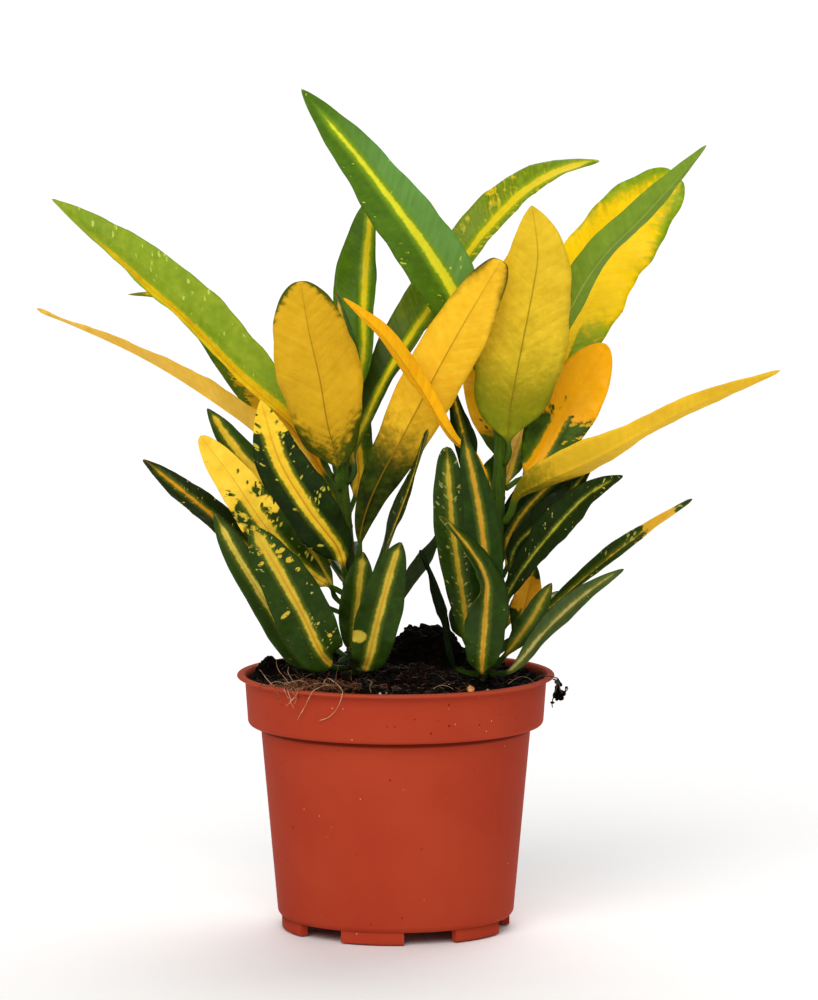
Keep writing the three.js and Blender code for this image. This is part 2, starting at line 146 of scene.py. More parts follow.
class Paint:
    """One material while it is mixed."""

    def __init__(self, name):
        self.material = bpy.data.materials.new(name)
        self.material.use_nodes = True
        self.tree = self.material.node_tree
        self.tree.nodes.clear()

    def node(self, kind, settings, sockets, output=0):
        made = self.tree.nodes.new("ShaderNode" + kind)
        for setting, value in settings.items():
            if setting == "stops":
                set_stops(made.color_ramp, value)
            else:
                setattr(made, setting, value)
        for name, value in sockets.items():
            if isinstance(value, Value):
                self.tree.links.new(value.socket, made.inputs[name])
            else:
                made.inputs[name].default_value = value
        return Value(self, made.outputs[output])

    def math(self, operation, *terms):
        return self.node("Math", {"operation": operation}, dict(enumerate(terms)))

    def attribute(self, name):
        return self.node("Attribute", {"attribute_name": name}, {}, "Vector")

    def position(self):
        """The place on the object, in metres."""
        return self.node("TexCoord", {}, {}, "Object")

    def parts(self, vector):
        first = self.node("SeparateXYZ", {}, {0: vector})
        return [Value(self, output) for output in first.socket.node.outputs]

    def join(self, x, y, z):
        return self.node("CombineXYZ", {}, {0: x, 1: y, 2: z})

    def step(self, value, low, high):
        """0 below low, 1 above high, smooth between."""
        return self.node("MapRange", {"interpolation_type": "SMOOTHSTEP"},
                         {"Value": value, "From Min": low, "From Max": high})

    def profile(self, value, heights):
        """A smooth curve through heights at equal steps of value from 0 to 1."""
        stops = [(i / (len(heights) - 1), (h, h, h, 1)) for i, h in enumerate(heights)]
        return self.node("ValToRGB", {"stops": stops}, {"Fac": value})

    def noise(self, vector, scale, detail, roughness=0.5):
        return self.node("TexNoise", {"noise_dimensions": "3D"},
                         {"Vector": vector, "Scale": scale, "Detail": detail,
                          "Roughness": roughness}, "Fac")

    def cells(self, vector, scale):
        """How far away the nearest of many scattered points is, and its three random numbers."""
        away = self.node("TexVoronoi", {"feature": "F1"},
                         {"Vector": vector, "Scale": scale, "Randomness": 1.0}, "Distance")
        return away, self.parts(Value(self, away.socket.node.outputs["Color"]))

    def mix(self, mask, below, above):
        """Colour below where mask is 0, colour above where it is 1."""
        return self.node("Mix", {"data_type": "RGBA"}, {0: mask, 6: below, 7: above}, 2)

    def shaded(self, colour, strength):
        return self.node("VectorMath", {"operation": "SCALE"}, {0: colour, "Scale": strength})

    def finish(self, colour, roughness, height, depth, shine=0.5):
        bump = self.node("Bump", {}, {"Height": height, "Distance": depth, "Strength": 1.0})
        return self.surface({"Base Color": colour, "Roughness": roughness, "Normal": bump,
                             "Specular IOR Level": shine})

    def surface(self, sockets):
        """Ends the material in one shader."""
        shader = self.node("BsdfPrincipled", {}, sockets)
        output = self.tree.nodes.new("ShaderNodeOutputMaterial")
        self.tree.links.new(shader.socket, output.inputs["Surface"])
        return self.material


def set_stops(ramp, stops):
    ramp.interpolation = "CARDINAL"
    ramp.elements[0].position = stops[0][0]
    ramp.elements[1].position = stops[-1][0]
    for position, _ in stops[1:-1]:
        ramp.elements.new(position)
    for element, (_, colour) in zip(ramp.elements, stops):
        element.color = colour


def linear(code):
    """#rrggbb as the light it stands for, with alpha 1."""
    shares = [int(code[i:i + 2], 16) / 255 for i in (1, 3, 5)]
    return (*[s / 12.92 if s <= 0.04045 else ((s + 0.055) / 1.055) ** 2.4 for s in shares], 1)


print("a mid grey is", round(linear("#808080")[0], 3), "as light")

# %% [markdown]
# ## Finding a leaf's form in its solid
# A leaf's solid is a row of rings: from the petiole's foot to the tip, each ring goes round the
# blade, across the lower face and back across the upper one. Its mesh comes as loose triangles.
# Welding them shows which points are joined. Starting at the tip, where the points are closest
# together, each step outward along the edges finds the next ring. That way the finer leaf is
# built on the solid's own form and stays where it is.

# %% Weld a solid
def welded(name):
    """The points of a solid, and which points each of them is joined to."""
    mesh = nodes[name].data
    mesh.calc_loop_triangles()
    loose = np.array([v.co for v in mesh.vertices])
    points, place = np.unique(np.round(loose, 6), axis=0, return_inverse=True)
    place = place.ravel()
    joined = [set() for _ in points]
    for triangle in mesh.loop_triangles:
        a, b, c = (int(place[i]) for i in triangle.vertices)
        joined[a] |= {b, c}
        joined[b] |= {a, c}
        joined[c] |= {a, b}
    return points, joined


print("right_leaf_01 has", len(welded("right_leaf_01")[0]), "points")


# %% Find a leaf's rings
LEAF_RINGS = 12


def ring_layers(points, joined, size):
    """Sets of points, ring after ring, from the end where they are closest together."""
    apart = np.linalg.norm(points[:, None] - points[None], axis=2)
    order = np.argsort(apart, axis=1)[:, :size]
    first = int(np.argmin(apart[np.arange(len(points)), order[:, -1]]))
    layer = {int(i) for i in order[first]}
    layers = [layer]
    seen = set(layer)
    while len(seen) < len(points):
        layer = {n for v in layer for n in joined[v]} - seen
        layers.append(layer)
        seen |= layer
    return layers


def walk_round(layer, joined):
    """The points of one ring in order."""
    path = [min(layer)]
    while len(path) < len(layer):
        path.append(next(n for n in sorted(joined[path[-1]]) if n in layer and n not in path))
    return path


def split_at_edges(path, points):
    """Turns a ring so that it starts at the blade's edge."""
    half = len(path) // 2
    ring = points[path]
    middle = (ring + np.roll(ring, -1, axis=0)) / 2
    wide = np.linalg.norm(middle - np.roll(middle, -half, axis=0), axis=1)
    start = int(np.argmax(wide)) + 1
    return path[start:] + path[:start]


def line_up(path, known, points, joined):
    """Turns a ring so that each point is joined to the same point of a known ring."""
    choices = []
    for turned in (path, path[::-1]):
        for start in range(len(path)):
            choice = turned[start:] + turned[:start]
            links = sum(b in joined[a] for a, b in zip(known, choice))
            gap = np.linalg.norm(points[known] - points[choice])
            choices.append((-links, gap, choice))
    return min(choices)[2]


def leaf_rings(name):
    """The upper and the lower points of each ring, foot to tip and edge to edge, and both ends."""
    points, joined = welded(name)
    size = len(points) // LEAF_RINGS
    half = size // 2
    layers = ring_layers(points, joined, size)[::-1]
    inner = [walk_round(layer, joined) for layer in layers[1:-1]]
    widest = int(np.argmax([np.ptp(points[path], axis=0).max() for path in inner]))
    inner[widest] = split_at_edges(inner[widest], points)
    for i in range(widest - 1, -1, -1):
        inner[i] = line_up(inner[i], inner[i + 1], points, joined)
    for i in range(widest + 1, len(inner)):
        inner[i] = line_up(inner[i], inner[i - 1], points, joined)
    one = np.array([points[path[:half]] for path in inner])
    other = np.array([points[path[half:][::-1]] for path in inner])
    raised = (one[:, 0] + one[:, -1]) / 2 - one[:, half // 2]
    through = other[:, half // 2] - one[:, half // 2]
    upper, lower = (other, one) if np.sum(raised * through) > 0 else (one, other)
    up = upper[:, half // 2] - lower[:, half // 2]
    along = np.gradient(upper[:, half // 2], axis=0)
    side = upper[:, -1] - upper[:, 0]
    if np.sum(side * np.cross(up, along)) < 0:
        upper, lower = upper[:, ::-1], lower[:, ::-1]
    ends = [points[sorted(layer)].mean(axis=0) for layer in (layers[0], layers[-1])]
    return upper, lower, ends


trial_upper, _, trial_ends = leaf_rings("right_leaf_01")
print("right_leaf_01: rings and points", trial_upper.shape[:2], "tip at mm",
      np.round(trial_ends[1] / MM, 1))

# %% [markdown]
# ## Growing the finer leaf
# Smooth curves run from ring to ring through the midrib and both edges. A real blade is thinner
# than the solid, its midrib is a groove above and a round ridge below, its edge ripples, and its
# petiole is round. Each point of the mesh keeps two attributes for the pattern: `place` is
# millimetres across and along, with the leaf's number, and `share` is the same as shares of the
# blade, with 1 on the underside.

# %% Leaf form
SOLID_HALF = 0.4 * MM           # from a solid blade's upper face to its middle
BLADE_HALF = 0.27 * MM          # the same for the finer blade
PETIOLE_WIDE = 1.05 * MM        # half the petiole's width
TIP_WIDE = 0.08 * MM
FOOT_RISE = 0.35 * MM
FOOT_REACH = 0.9 * MM           # how far the petiole goes on into the stem


def through_points(knots, values, at):
    """A smooth curve through values at knots, read at other places."""
    slopes = np.gradient(values, knots, axis=0)
    i = np.clip(np.searchsorted(knots, at) - 1, 0, len(knots) - 2)
    step = knots[i + 1] - knots[i]
    t = (at - knots[i]) / step
    if values.ndim > 1:
        step, t = step[:, None], t[:, None]
    return ((2 * t ** 3 - 3 * t ** 2 + 1) * values[i] + (t ** 3 - 2 * t ** 2 + t) * step * slopes[i]
            + (3 * t ** 2 - 2 * t ** 3) * values[i + 1] + (t ** 3 - t ** 2) * step * slopes[i + 1])


def unit(vectors):
    return vectors / np.maximum(np.linalg.norm(vectors, axis=-1, keepdims=True), 1e-12)


def ease(value, low, high):
    t = np.clip((value - low) / (high - low), 0, 1)
    return t * t * (3 - 2 * t)


def leaf_form(name):
    """The midline, upward and edge directions and half width of a leaf at each of its rings."""
    upper, lower, ends = leaf_rings(name)
    middle = upper.shape[1] // 2
    up = unit(upper[:, middle] - lower[:, middle])
    centre = upper[:, middle] - SOLID_HALF * up
    reach = [upper[:, k] - SOLID_HALF * up - centre for k in (0, -1)]
    width = (np.linalg.norm(reach[0], axis=1) + np.linalg.norm(reach[1], axis=1)) / 2
    edges = [unit(r) for r in reach]
    foot = ends[0] + FOOT_RISE * up[0]
    stem_side = unit(foot - centre[0])
    centre = np.vstack([foot + FOOT_REACH * stem_side, centre, ends[1]])
    up = np.vstack([up[:1], up, up[-1:]])
    edges = [np.vstack([e[:1], e, e[-1:]]) for e in edges]
    width = np.concatenate([[PETIOLE_WIDE], width, [TIP_WIDE]])
    return centre, up, edges, width


print("right_leaf_01 is", round(leaf_form("right_leaf_01")[3].max() * 2 / MM), "mm wide")

# %% Leaf mesh
ACROSS = 20                     # steps from edge to edge
ALONG = 76                      # rings of the blade
PETIOLE_RINGS = 7
# each wave is (size, length in mm), and a ripple's size is its height in mm
LOBES = ((1, 29), (0.6, 13))
RIPPLES = ((0.5, 23), (0.28, 11), (0.12, 5.3))
PETIOLE_THICK = 0.85            # of its width
RIDGE_WIDE = 0.55 * MM          # the midrib below, and its height in mm at base and tip
RIDGE_HIGH = (0.75, 0.15)
GROOVE_WIDE = 0.7 * MM          # the midrib above, and its depth in mm at base and tip
GROOVE_DEEP = (0.3, 0.15)
CURL_FROM = 0.75                # share of the blade where a curled tip begins
CURL_DEPTH = 16 * MM
LEAF_APART = 37.0               # keeps the noise of one leaf away from the next one's


def stations(knots):
    """Where the finer rings are along the midline, as shares of the blade, and its base."""
    base, end = knots[2], knots[-1]
    even = np.linspace(0, 1, ALONG)
    crowded = even - 0.5 * np.sin(2 * np.pi * even) / (2 * np.pi)
    petiole = np.linspace(0, base, PETIOLE_RINGS, endpoint=False)
    at = np.concatenate([petiole, base + (end - base) * crowded])
    return at, np.clip((at - base) / (end - base), 0, 1), base


def half_width(knots, width, at):
    """Half the width along a leaf, rounded off at a blunt tip and straight to a sharp one."""
    taper = np.log(max(width[-2], 0.3 * MM) / width.max()) / np.log(0.36)
    power = 1 / np.clip(taper, 0.36, 0.9)
    reach = np.maximum(through_points(knots, width ** power, at), (0.05 * MM) ** power)
    return reach ** (1 / power)


def between(ends, share):
    """A size in mm that changes evenly from base to tip."""
    return (ends[0] + (ends[1] - ends[0]) * share) * MM


def waves(at, parts, phases):
    return sum(size * np.sin(2 * np.pi * at / MM / length + phase)
               for (size, length), phase in zip(parts, phases))


def leaf_mesh(name, number, shape):
    """Points and attributes of the finer leaf. shape holds ripple, lobes, slim, middle, curl."""
    centre, up, edges, width = leaf_form(name)
    knots = np.concatenate([[0], np.cumsum(np.linalg.norm(np.diff(centre, axis=0), axis=1))])
    at, share, base = stations(knots)
    mid = through_points(knots, centre, at)
    tangent = unit(np.gradient(mid, at, axis=0))
    normal = through_points(knots, up, at)
    normal = unit(normal - np.sum(normal * tangent, axis=1, keepdims=True) * tangent)
    sides = [unit(through_points(knots, e, at)) for e in edges]

    reach = half_width(knots, width, at)
    open_blade = ease(reach, 1.2 * MM, 4 * MM) * ease(share, 0, 0.05)
    openness = reach / width.max()
    slim_at = np.linspace(0, 1, len(shape["slim"]))
    reach = reach * np.interp(share, slim_at, shape["slim"])
    off_middle = shape["middle"] * reach * open_blade
    curl = np.clip(share - CURL_FROM, 0, 1)[:, None] ** 2 * shape["curl"] * CURL_DEPTH

    phases = np.random.default_rng(number).uniform(0, 2 * np.pi, 10)
    even = np.linspace(-1, 1, ACROSS + 1)
    across = np.sign(even) * np.abs(even) ** 1.6
    rows, places, shares = [], [], []
    for below, p in [(0, p) for p in across] + [(1, p) for p in across[::-1]]:
        half, a = int(p > 0), abs(p)
        side = sides[0] if p < 0 else sides[1]
        rise = np.sum(side * normal, axis=1)
        flat = side - rise[:, None] * normal
        far = reach * (1 + shape["lobes"] * open_blade * waves(at, LOBES, phases[6 + 2 * half:]))
        ripple = waves(at, RIPPLES, phases[3 * half:]) * MM * shape["ripple"] * a ** 2 * openness
        height = rise * far * a ** 1.3 + ripple
        round_part = PETIOLE_WIDE * PETIOLE_THICK * np.sqrt(max(0, 1 - p * p))
        flat_part = BLADE_HALF * np.sqrt(1 - 0.85 * a ** 8)
        thick = (1 - open_blade) * np.minimum(round_part, reach) + open_blade * flat_part
        x = p * far - off_middle
        if below:
            ridge = between(RIDGE_HIGH, share) * np.exp(-(x / RIDGE_WIDE) ** 2)
            height = height - thick - ridge * open_blade * np.minimum(1, reach / (3 * MM))
        else:
            groove = between(GROOVE_DEEP, share) * np.exp(-(x / GROOVE_WIDE) ** 2)
            height = height + thick - groove * open_blade
        rows.append(mid + a * far[:, None] * flat + height[:, None] * normal - curl * normal)
        places.append(np.stack([x / MM, (at - base) / MM,
                                np.full(len(at), number * LEAF_APART)], axis=1))
        shares.append(np.stack([np.full(len(at), p), share, np.full(len(at), below)], axis=1))
    return [np.stack(part, axis=1) for part in (rows, places, shares)]


print("a leaf has", (ALONG + PETIOLE_RINGS) * (ACROSS + 1) * 2, "points")


# %% A closed skin over rings
def loop_faces(stations, loop):
    faces = []
    for i in range(stations - 1):
        for j in range(loop):
            k = (j + 1) % loop
            faces.append((i * loop + j, i * loop + k, (i + 1) * loop + k, (i + 1) * loop + j))
    faces.append(tuple(range(loop - 1, -1, -1)))
    faces.append(tuple((stations - 1) * loop + j for j in range(loop)))
    return faces


def signed_volume(points, faces):
    total = 0.0
    for face in faces:
        a = points[face[0]]
        for b, c in zip(face[1:-1], face[2:]):
            total += np.dot(a, np.cross(points[b], points[c]))
    return total / 6


def tube_object(name, points, attributes):
    """A closed skin over rings of points, its faces outwards, as an object in the scene."""
    flat = points.reshape(-1, 3)
    faces = loop_faces(*points.shape[:2])
    if signed_volume(flat, faces) < 0:
        faces = [face[::-1] for face in faces]
    mesh = bpy.data.meshes.new(name)
    mesh.from_pydata(flat.tolist(), [], faces)
    for title, values in attributes.items():
        layer = mesh.attributes.new(title, "FLOAT_VECTOR", "POINT")
        layer.data.foreach_set("vector", values.reshape(-1).astype(np.float32))
    mesh.shade_smooth()
    return add_object(name, mesh)


print("its skin has", len(loop_faces(ALONG + PETIOLE_RINGS, (ACROSS + 1) * 2)), "faces")

# %% [markdown]
# ## The pattern on a leaf
# Croton leaves are green where they make chlorophyll and yellow where they don't. A yellow band
# follows the midrib, with a ragged edge, and an orange line runs inside it. Young leaves are
# nearly all yellow and turn green from the edges and the base. Pale flecks are scattered over
# the green. On the upper leaves the patches follow the side veins, on the lower ones they don't.
# A leaf's look is a short list of sizes and colours, and the same sums are used for all of them.
# Sizes are in mm, and a look's lists are values at equal steps from the base to the tip:
# - `green` and `lime` are the two greens, `low` a darker one at the base, `gold` and `deep_gold`
#   the two yellows, `olive` the green beside the band, and `line` the midrib's line.
# - `greenness` is 0 where the leaf is yellow and 1 where it is green, `edge` adds to it at the
#   edges, `soft` is how gradual the change is, and `mottle` how ragged. `streaky` is 1 for
#   streaks along the side veins and 0 for blotches.
# - `band` is half the yellow band's width, `band_soft` and `halo` the widths of its edge and of
#   the olive beside it, and `tip_fade` the share of the leaf where it starts to close.
# - `flecks` is how many pale flecks are on the green, `specks` how many green ones on the yellow.
#   `patches` are yellow spots, given one by one: across, along, and half of each size.
# - `below_tint` dulls the underside, and `sheen` is -1 or 1 for the half with a painted sheen.
# - `slim` scales the width, `middle` moves the midrib, `lobes` wave the outline, `ripple` waves
#   the edge up and down, and `curl` bends the tip.

# %% Leaf looks
LEAF_DEFAULTS = dict(
    green="#33500a", lime="#54740c", low=None, gold="#efc92c", deep_gold="#e1ad1a",
    olive="#7c8416", greenness=(1, 1, 1, 1, 1), soft=0.1, edge=(0, 0, 0), mottle=0.6,
    streaky=0.3, band=(2.0, 2.2, 1.0), band_soft=1.0, halo=1.6, tip_fade=0.9, line="#c8861a",
    line_width=0.42, flecks=0.35, fleck="#c2bc5a", fleck_size=1.0, specks=0.7, patches=(),
    veins=0.2, below_tint=0.45, sheen=0, stalk="#3c5410", gloss=0.36, shine=0.08, slim=(1, 1),
    middle=0.0, lobes=0.015, ripple=1.0, curl=0.0)


def look(**changes):
    return {**LEAF_DEFAULTS, **changes}


def dark(**changes):
    """A lower leaf: very dark green with a yellow band, an orange line and pale flecks."""
    return look(**{**dict(green="#20340a", lime="#324a0e", gold="#e5cd3e", deep_gold="#d4af2c",
                          olive="#66701a", mottle=0.5, stalk="#2c4410"), **changes})


def lime(**changes):
    """An upper leaf: fresh green with a bright yellow band without an orange line."""
    return look(**{**dict(green="#587a10", lime="#86a018", gold="#e5da1e", deep_gold="#ebd21c",
                          olive="#a4b41a", line_width=0.0, streaky=0.6, flecks=0.25,
                          fleck="#b9c848", veins=0.15), **changes})


def golden(**changes):
    """The underside of a young leaf: warm yellow with a thin brown midrib and faint veins."""
    return look(**{**dict(green="#5a5f08", lime="#94900c", gold="#efc51e", deep_gold="#e1af14",
                          greenness=(0.1, -0.4, -0.4, -0.4, -0.3), soft=0.35, mottle=0.4,
                          streaky=0.5, band=(0, 0, 0), line="#8a640c", line_width=0.3,
                          flecks=0.0, specks=0.0, veins=0.12, below_tint=0.0, gloss=0.5,
                          ripple=0.6), **changes})


LOOKS = {
    "left_leaf_01": golden(
        green="#2e3e04", lime="#6e7008", gold="#deb022", deep_gold="#d09e14",
        greenness=(0.75, 0.05, -0.4, -0.3, 0.15), soft=0.3, edge=(1.3, 0.1, 1.2), mottle=0.85,
        slim=(1, 1.08, 1.14, 1.15, 1.1), lobes=0.02),
    "left_leaf_02": lime(
        green="#42620a", lime="#587c0e", gold="#e6cc20", deep_gold="#d8c01c", band=(0.5, 1.1, 0.9),
        middle=-0.45),
    "left_leaf_03": dark(
        green="#2a4a0c", lime="#406012", band=(0.5, 0.7, 0.4), flecks=0.6, shine=0.2),
    "left_leaf_04": lime(
        green="#7c9820", lime="#a4b432", gold="#eccc18", deep_gold="#e0a810", mottle=0.8,
        streaky=0.2, band=(3.4, 1.9, 0.5), tip_fade=0.75, line="#c87a10", line_width=0.15,
        flecks=0.9, fleck="#ccd868", fleck_size=1.3, middle=0.75, lobes=0.03),
    "left_leaf_05": look(
        green="#44640e", lime="#809418", gold="#f0c010", deep_gold="#e6a20c",
        greenness=(-0.2, 0.1, 0.4, 0.8, 1.2), soft=0.2, edge=(0.5, 0.9, 0.6), mottle=1.0,
        band=(2.4, 2.2, 0.5), curl=1.3),
    "left_leaf_06": golden(
        green="#4c5a1c", gold="#f0c244", deep_gold="#e4ae30",
        greenness=(0.1, -0.1, -0.1, -0.1, 0.4), mottle=0.8, streaky=0.2, line_width=0.0,
        ripple=0.4),
    "left_leaf_07": dark(
        green="#243c10", gold="#edc93c", band=(1.6, 1.6, 1.0), line_width=0.0, flecks=0.0),
    "left_leaf_08": golden(
        green="#142002", lime="#4c5a0a", gold="#f6c62c", deep_gold="#ecb01c",
        greenness=(1.6, 1.0, -0.2, -0.4, 0.1), soft=0.6, edge=(0.2, 0, 1.1), mottle=0.45,
        streaky=0.3, flecks=0.4, fleck="#8a8c20", fleck_size=1.4),
    "left_leaf_09": lime(
        green="#5c7c14", lime="#98a81e", low="#2c400a", gold="#e0c41e",
        greenness=(1.6, 1.4, 0.85, 0.7, 0.9), soft=0.2, mottle=1.0, streaky=0.8,
        band=(0.6, 1.3, 1.8), flecks=0.3, fleck="#c8cc30", middle=-0.4),
    "left_leaf_10": look(
        green="#16260a", lime="#263a0a", gold="#fcd438", deep_gold="#ecba24",
        greenness=(1.5, 1.2, 1.0, 0.8, -0.25), edge=(0.2, 0.2, 0), mottle=1.0, streaky=0.0,
        band=(1.5, 2.4, 2.6), flecks=1.0, fleck="#d4c844", fleck_size=1.25, specks=0.9,
        lobes=0.025),
    "left_leaf_11": look(
        green="#20340a", lime="#384e0e", gold="#fcd440", deep_gold="#ecbc2e",
        greenness=(1.4, 1.1, 0.75, 0.1, -0.3), mottle=1.05, streaky=0.0, band=(1.5, 2.2, 2.2),
        line_width=0.2, flecks=1.1, fleck="#d8c848", fleck_size=1.35, specks=0.8),
    "left_leaf_12": dark(
        green="#1a260a", lime="#22300c", gold="#e5a520", deep_gold="#d48d18", band=(0.9, 0.8, 0.4),
        flecks=0.8, fleck_size=0.8),
    "left_leaf_13": dark(green="#4a5a12", band=(1.5, 1.5, 0.5)),
    "left_leaf_14": dark(
        green="#2c4018", gold="#e5d058", deep_gold="#d4be48", band=(0.9, 1.3, 0.8), line="#c09a30",
        line_width=0.3, flecks=0.6),
    "left_leaf_15": dark(
        gold="#d8be3c", deep_gold="#c8a42c", greenness=(1, 1, 1, 0.95, 0.5), mottle=0.8,
        band=(1.2, 1.6, 2.1), flecks=0.8, fleck_size=0.75, patches=((6.0, 31, 2.0, 0.9),
        (-6.0, 15, 0.9, 0.9), (-5.6, 49.5, 1.3, 1.3), (-4.4, 54.5, 1.8, 0.9),
        (-3.0, 57.5, 1.0, 0.8), (-3.2, 52.5, 0.8, 0.7), (-6.6, 44.5, 0.9, 0.8),
        (2.6, 57.5, 1.0, 0.8), (4.2, 53.5, 1.1, 0.7)), lobes=0.02),
    "left_leaf_16": dark(
        gold="#ccb83e", deep_gold="#bca030", band=(1.4, 1.4, 1.1), flecks=0.3, fleck="#9aa858",
        patches=((5.9, 15.5, 3.2, 2.2),)),
    "left_leaf_17": dark(
        green="#1c2e08", gold="#bfab38", deep_gold="#af962c", band=(0.4, 0.9, 1.0), line_width=0.3,
        flecks=0.3),
    "left_leaf_18": dark(
        green="#1c2808", lime="#303e0c", greenness=(1, 1, 1, 0.8, 0.8), band=(0.2, 0.3, 0.2),
        band_soft=0.7, halo=0.8, flecks=0.9, fleck="#7a8048", lobes=0.0, ripple=0.25),
    "left_leaf_19": dark(
        green="#28341c", lime="#3e4a2e", band=(0, 0, 0), line_width=0.0, flecks=0.0,
        below_tint=0.15, gloss=0.8, shine=0.0, lobes=0.0, ripple=0.4),
    "left_leaf_20": look(greenness=(1, 0.9, 0.7, 0.6, 0.8), mottle=0.9),
    "left_leaf_21": dark(),
    "left_leaf_22": dark(flecks=0.6),
    "left_leaf_23": dark(band=(1.5, 1.5, 0.8)),
    "left_leaf_24": look(green="#2e4a0c", greenness=(1.4, 1.1, 0.5, 0.35, 0.4), mottle=0.9),
    "right_leaf_01": lime(
        green="#42640a", lime="#588010", gold="#e5e32c", deep_gold="#dcd622", olive="#84a81c",
        streaky=0.4, band=(2.2, 1.5, 0.35), halo=2.2, tip_fade=0.85, flecks=0.75, fleck="#c8d850",
        sheen=-1, gloss=0.34, shine=0.15, slim=(1, 1.12, 1.1, 1, 1), lobes=0.025),
    "right_leaf_02": golden(
        gold="#fcba0e", deep_gold="#f2a608", greenness=(0, -0.5, -0.5, -0.5, -0.4), line_width=0.2,
        veins=0.1, ripple=0.3),
    "right_leaf_03": golden(
        green="#64740c", lime="#a69c14", gold="#eac62e", deep_gold="#dcb422",
        greenness=(1.1, 0.55, 0.1, -0.1, -0.3), soft=0.6, edge=(0.4, 0.1, 0.3), mottle=0.5,
        streaky=0.35, line="#86700e", line_width=0.35, veins=0.35, lobes=0.02),
    "right_leaf_04": golden(
        green="#6c8a24", lime="#84a032", gold="#84982c", deep_gold="#8ca032",
        greenness=(1, 1, 1, 1, 1), mottle=0.2, line="#a8b050", veins=0.15, shine=0.12, middle=0.3),
    "right_leaf_05": look(
        green="#6a8a10", lime="#b0c41c", gold="#fed60a", deep_gold="#f6c606",
        greenness=(1.6, 1.5, 1.0, -0.2, -0.3, 0.0, 0.5), soft=0.5, edge=(0.5, 0.35, 1.6),
        mottle=0.9, streaky=0.6, band=(3, 3, 1.5), halo=0.3, line_width=0.0, flecks=0.0,
        specks=0.35, veins=0.3, lobes=0.035, ripple=1.6),
    "right_leaf_06": golden(
        green="#6a5c06", gold="#ecc02c", deep_gold="#e0b020",
        greenness=(0.9, 0.0, -0.5, -0.5, -0.3), line_width=0.0, veins=0.08,
        slim=(1.5, 1.3, 0.75, 0.85, 0.9), ripple=0.35),
    "right_leaf_07": look(
        green="#263e06", gold="#fcb40a", deep_gold="#f0a808",
        greenness=(1.4, 1.1, 0.35, -0.4, -0.4), soft=0.15, edge=(0.3, 0.2, 0), mottle=0.95,
        streaky=0.1, band=(2.6, 2.2, 1.2), line_width=0.0, flecks=1.1, fleck="#dcb024",
        fleck_size=1.5, specks=0.6, veins=0.25, ripple=1.4),
    "right_leaf_08": look(
        green="#2c400a", gold="#f0b20e", deep_gold="#e4a20a",
        greenness=(1.2, 0.2, -0.5, -0.5, -0.5), soft=0.25, mottle=0.5, band=(0, 0, 0),
        line_width=0.2, flecks=0.0),
    "right_leaf_09": dark(
        green="#101c08", lime="#1a280a", band=(0.3, 0.4, 0.2), flecks=0.4, shine=0.03),
    "right_leaf_10": dark(
        green="#24360c", gold="#c8b43a", deep_gold="#af9e2e", mottle=0.8, band=(0.6, 0.8, 0.7),
        halo=1.8, flecks=1.2, fleck="#9c9a4c", fleck_size=0.9, lobes=0.025),
    "right_leaf_11": dark(
        green="#1a2e08", lime="#2c440c", gold="#c8a032", deep_gold="#b08828",
        band=(0.6, 0.95, 0.6), flecks=0.3),
    "right_leaf_12": dark(
        gold="#d0ac38", deep_gold="#c0902c", band=(0.5, 1.1, 0.8), halo=1.8, flecks=0.55,
        fleck="#a8a850", fleck_size=0.75, lobes=0.02),
    "right_leaf_13": dark(
        green="#182608", lime="#22360c", gold="#afab34", deep_gold="#9e9628",
        band=(0.15, 0.35, 0.2), band_soft=0.7, halo=0.8, line_width=0.0, flecks=0.8,
        fleck_size=0.8),
    "right_leaf_14": dark(
        green="#141f08", lime="#1e2e0a", gold="#a09434", deep_gold="#8c8028", band=(0.2, 0.3, 0.2),
        band_soft=0.7, halo=0.8, line_width=0.0, flecks=0.7),
    "right_leaf_15": dark(
        green="#101a08", lime="#1a280a", band=(0.2, 0.3, 0.2), band_soft=0.7, halo=0.8,
        flecks=0.5),
    # near-black: the dark green of a lower leaf with painted shade, as it lies in shadow behind the
    # leaves in front
    "right_leaf_16": dark(
        green="#0e1a08", lime="#18280a", band=(0.3, 0.4, 0.3), flecks=0.2, shine=0.05),
    "right_leaf_17": dark(
        green="#121e08", gold="#eca61e", deep_gold="#dc9616", greenness=(1.3, 0.9, 0.1, 0.2, 1.3),
        mottle=0.4, band=(0.3, 0.5, 0.2), flecks=0.0, specks=0.0),
    "right_leaf_18": dark(
        green="#243610", gold="#a09838", deep_gold="#8e842c", band=(0.5, 0.7, 0.4), flecks=0.6),
    "right_leaf_19": dark(
        green="#26340e", gold="#eeb02c", greenness=(1, 1.2, 1.3, 1.3, 1.2, 0.6, 0.0, 1.8),
        mottle=1.0, streaky=0.0, band=(0.1, 0.1, 0.1), line_width=0.0, flecks=1.0, fleck="#b0b050",
        fleck_size=1.3, specks=0.4, lobes=0.0, ripple=0.25),
    "right_leaf_20": dark(
        green="#3a4a26", lime="#4c5c34", gold="#b8a868", deep_gold="#a89858",
        band=(0.5, 0.55, 0.3), line_width=0.0, flecks=0.6, lobes=0.0, ripple=0.25),
    "right_leaf_21": dark(
        green="#141c10", lime="#202c18", band=(0, 0, 0), line_width=0.0, flecks=0.3,
        below_tint=0.0, gloss=0.8, shine=0.0, lobes=0.0, ripple=0.5),
    # near-black: the dark green of a lower leaf with painted shade, as it lies in shadow behind the
    # leaves in front
    "right_leaf_22": dark(green="#14200a", flecks=0.2),
    "right_leaf_23": look(greenness=(1, 0.9, 0.7, 0.6, 0.8), mottle=0.9),
    "right_leaf_24": dark(green="#1c300a", lime="#2a440e", below_tint=0.0, gloss=0.8, shine=0.0),
    "right_leaf_25": dark(),
    "right_leaf_26": dark(flecks=0.6),
    "right_leaf_27": dark(band=(1.5, 1.5, 0.8)),
}
print(len(LOOKS), "leaf looks")
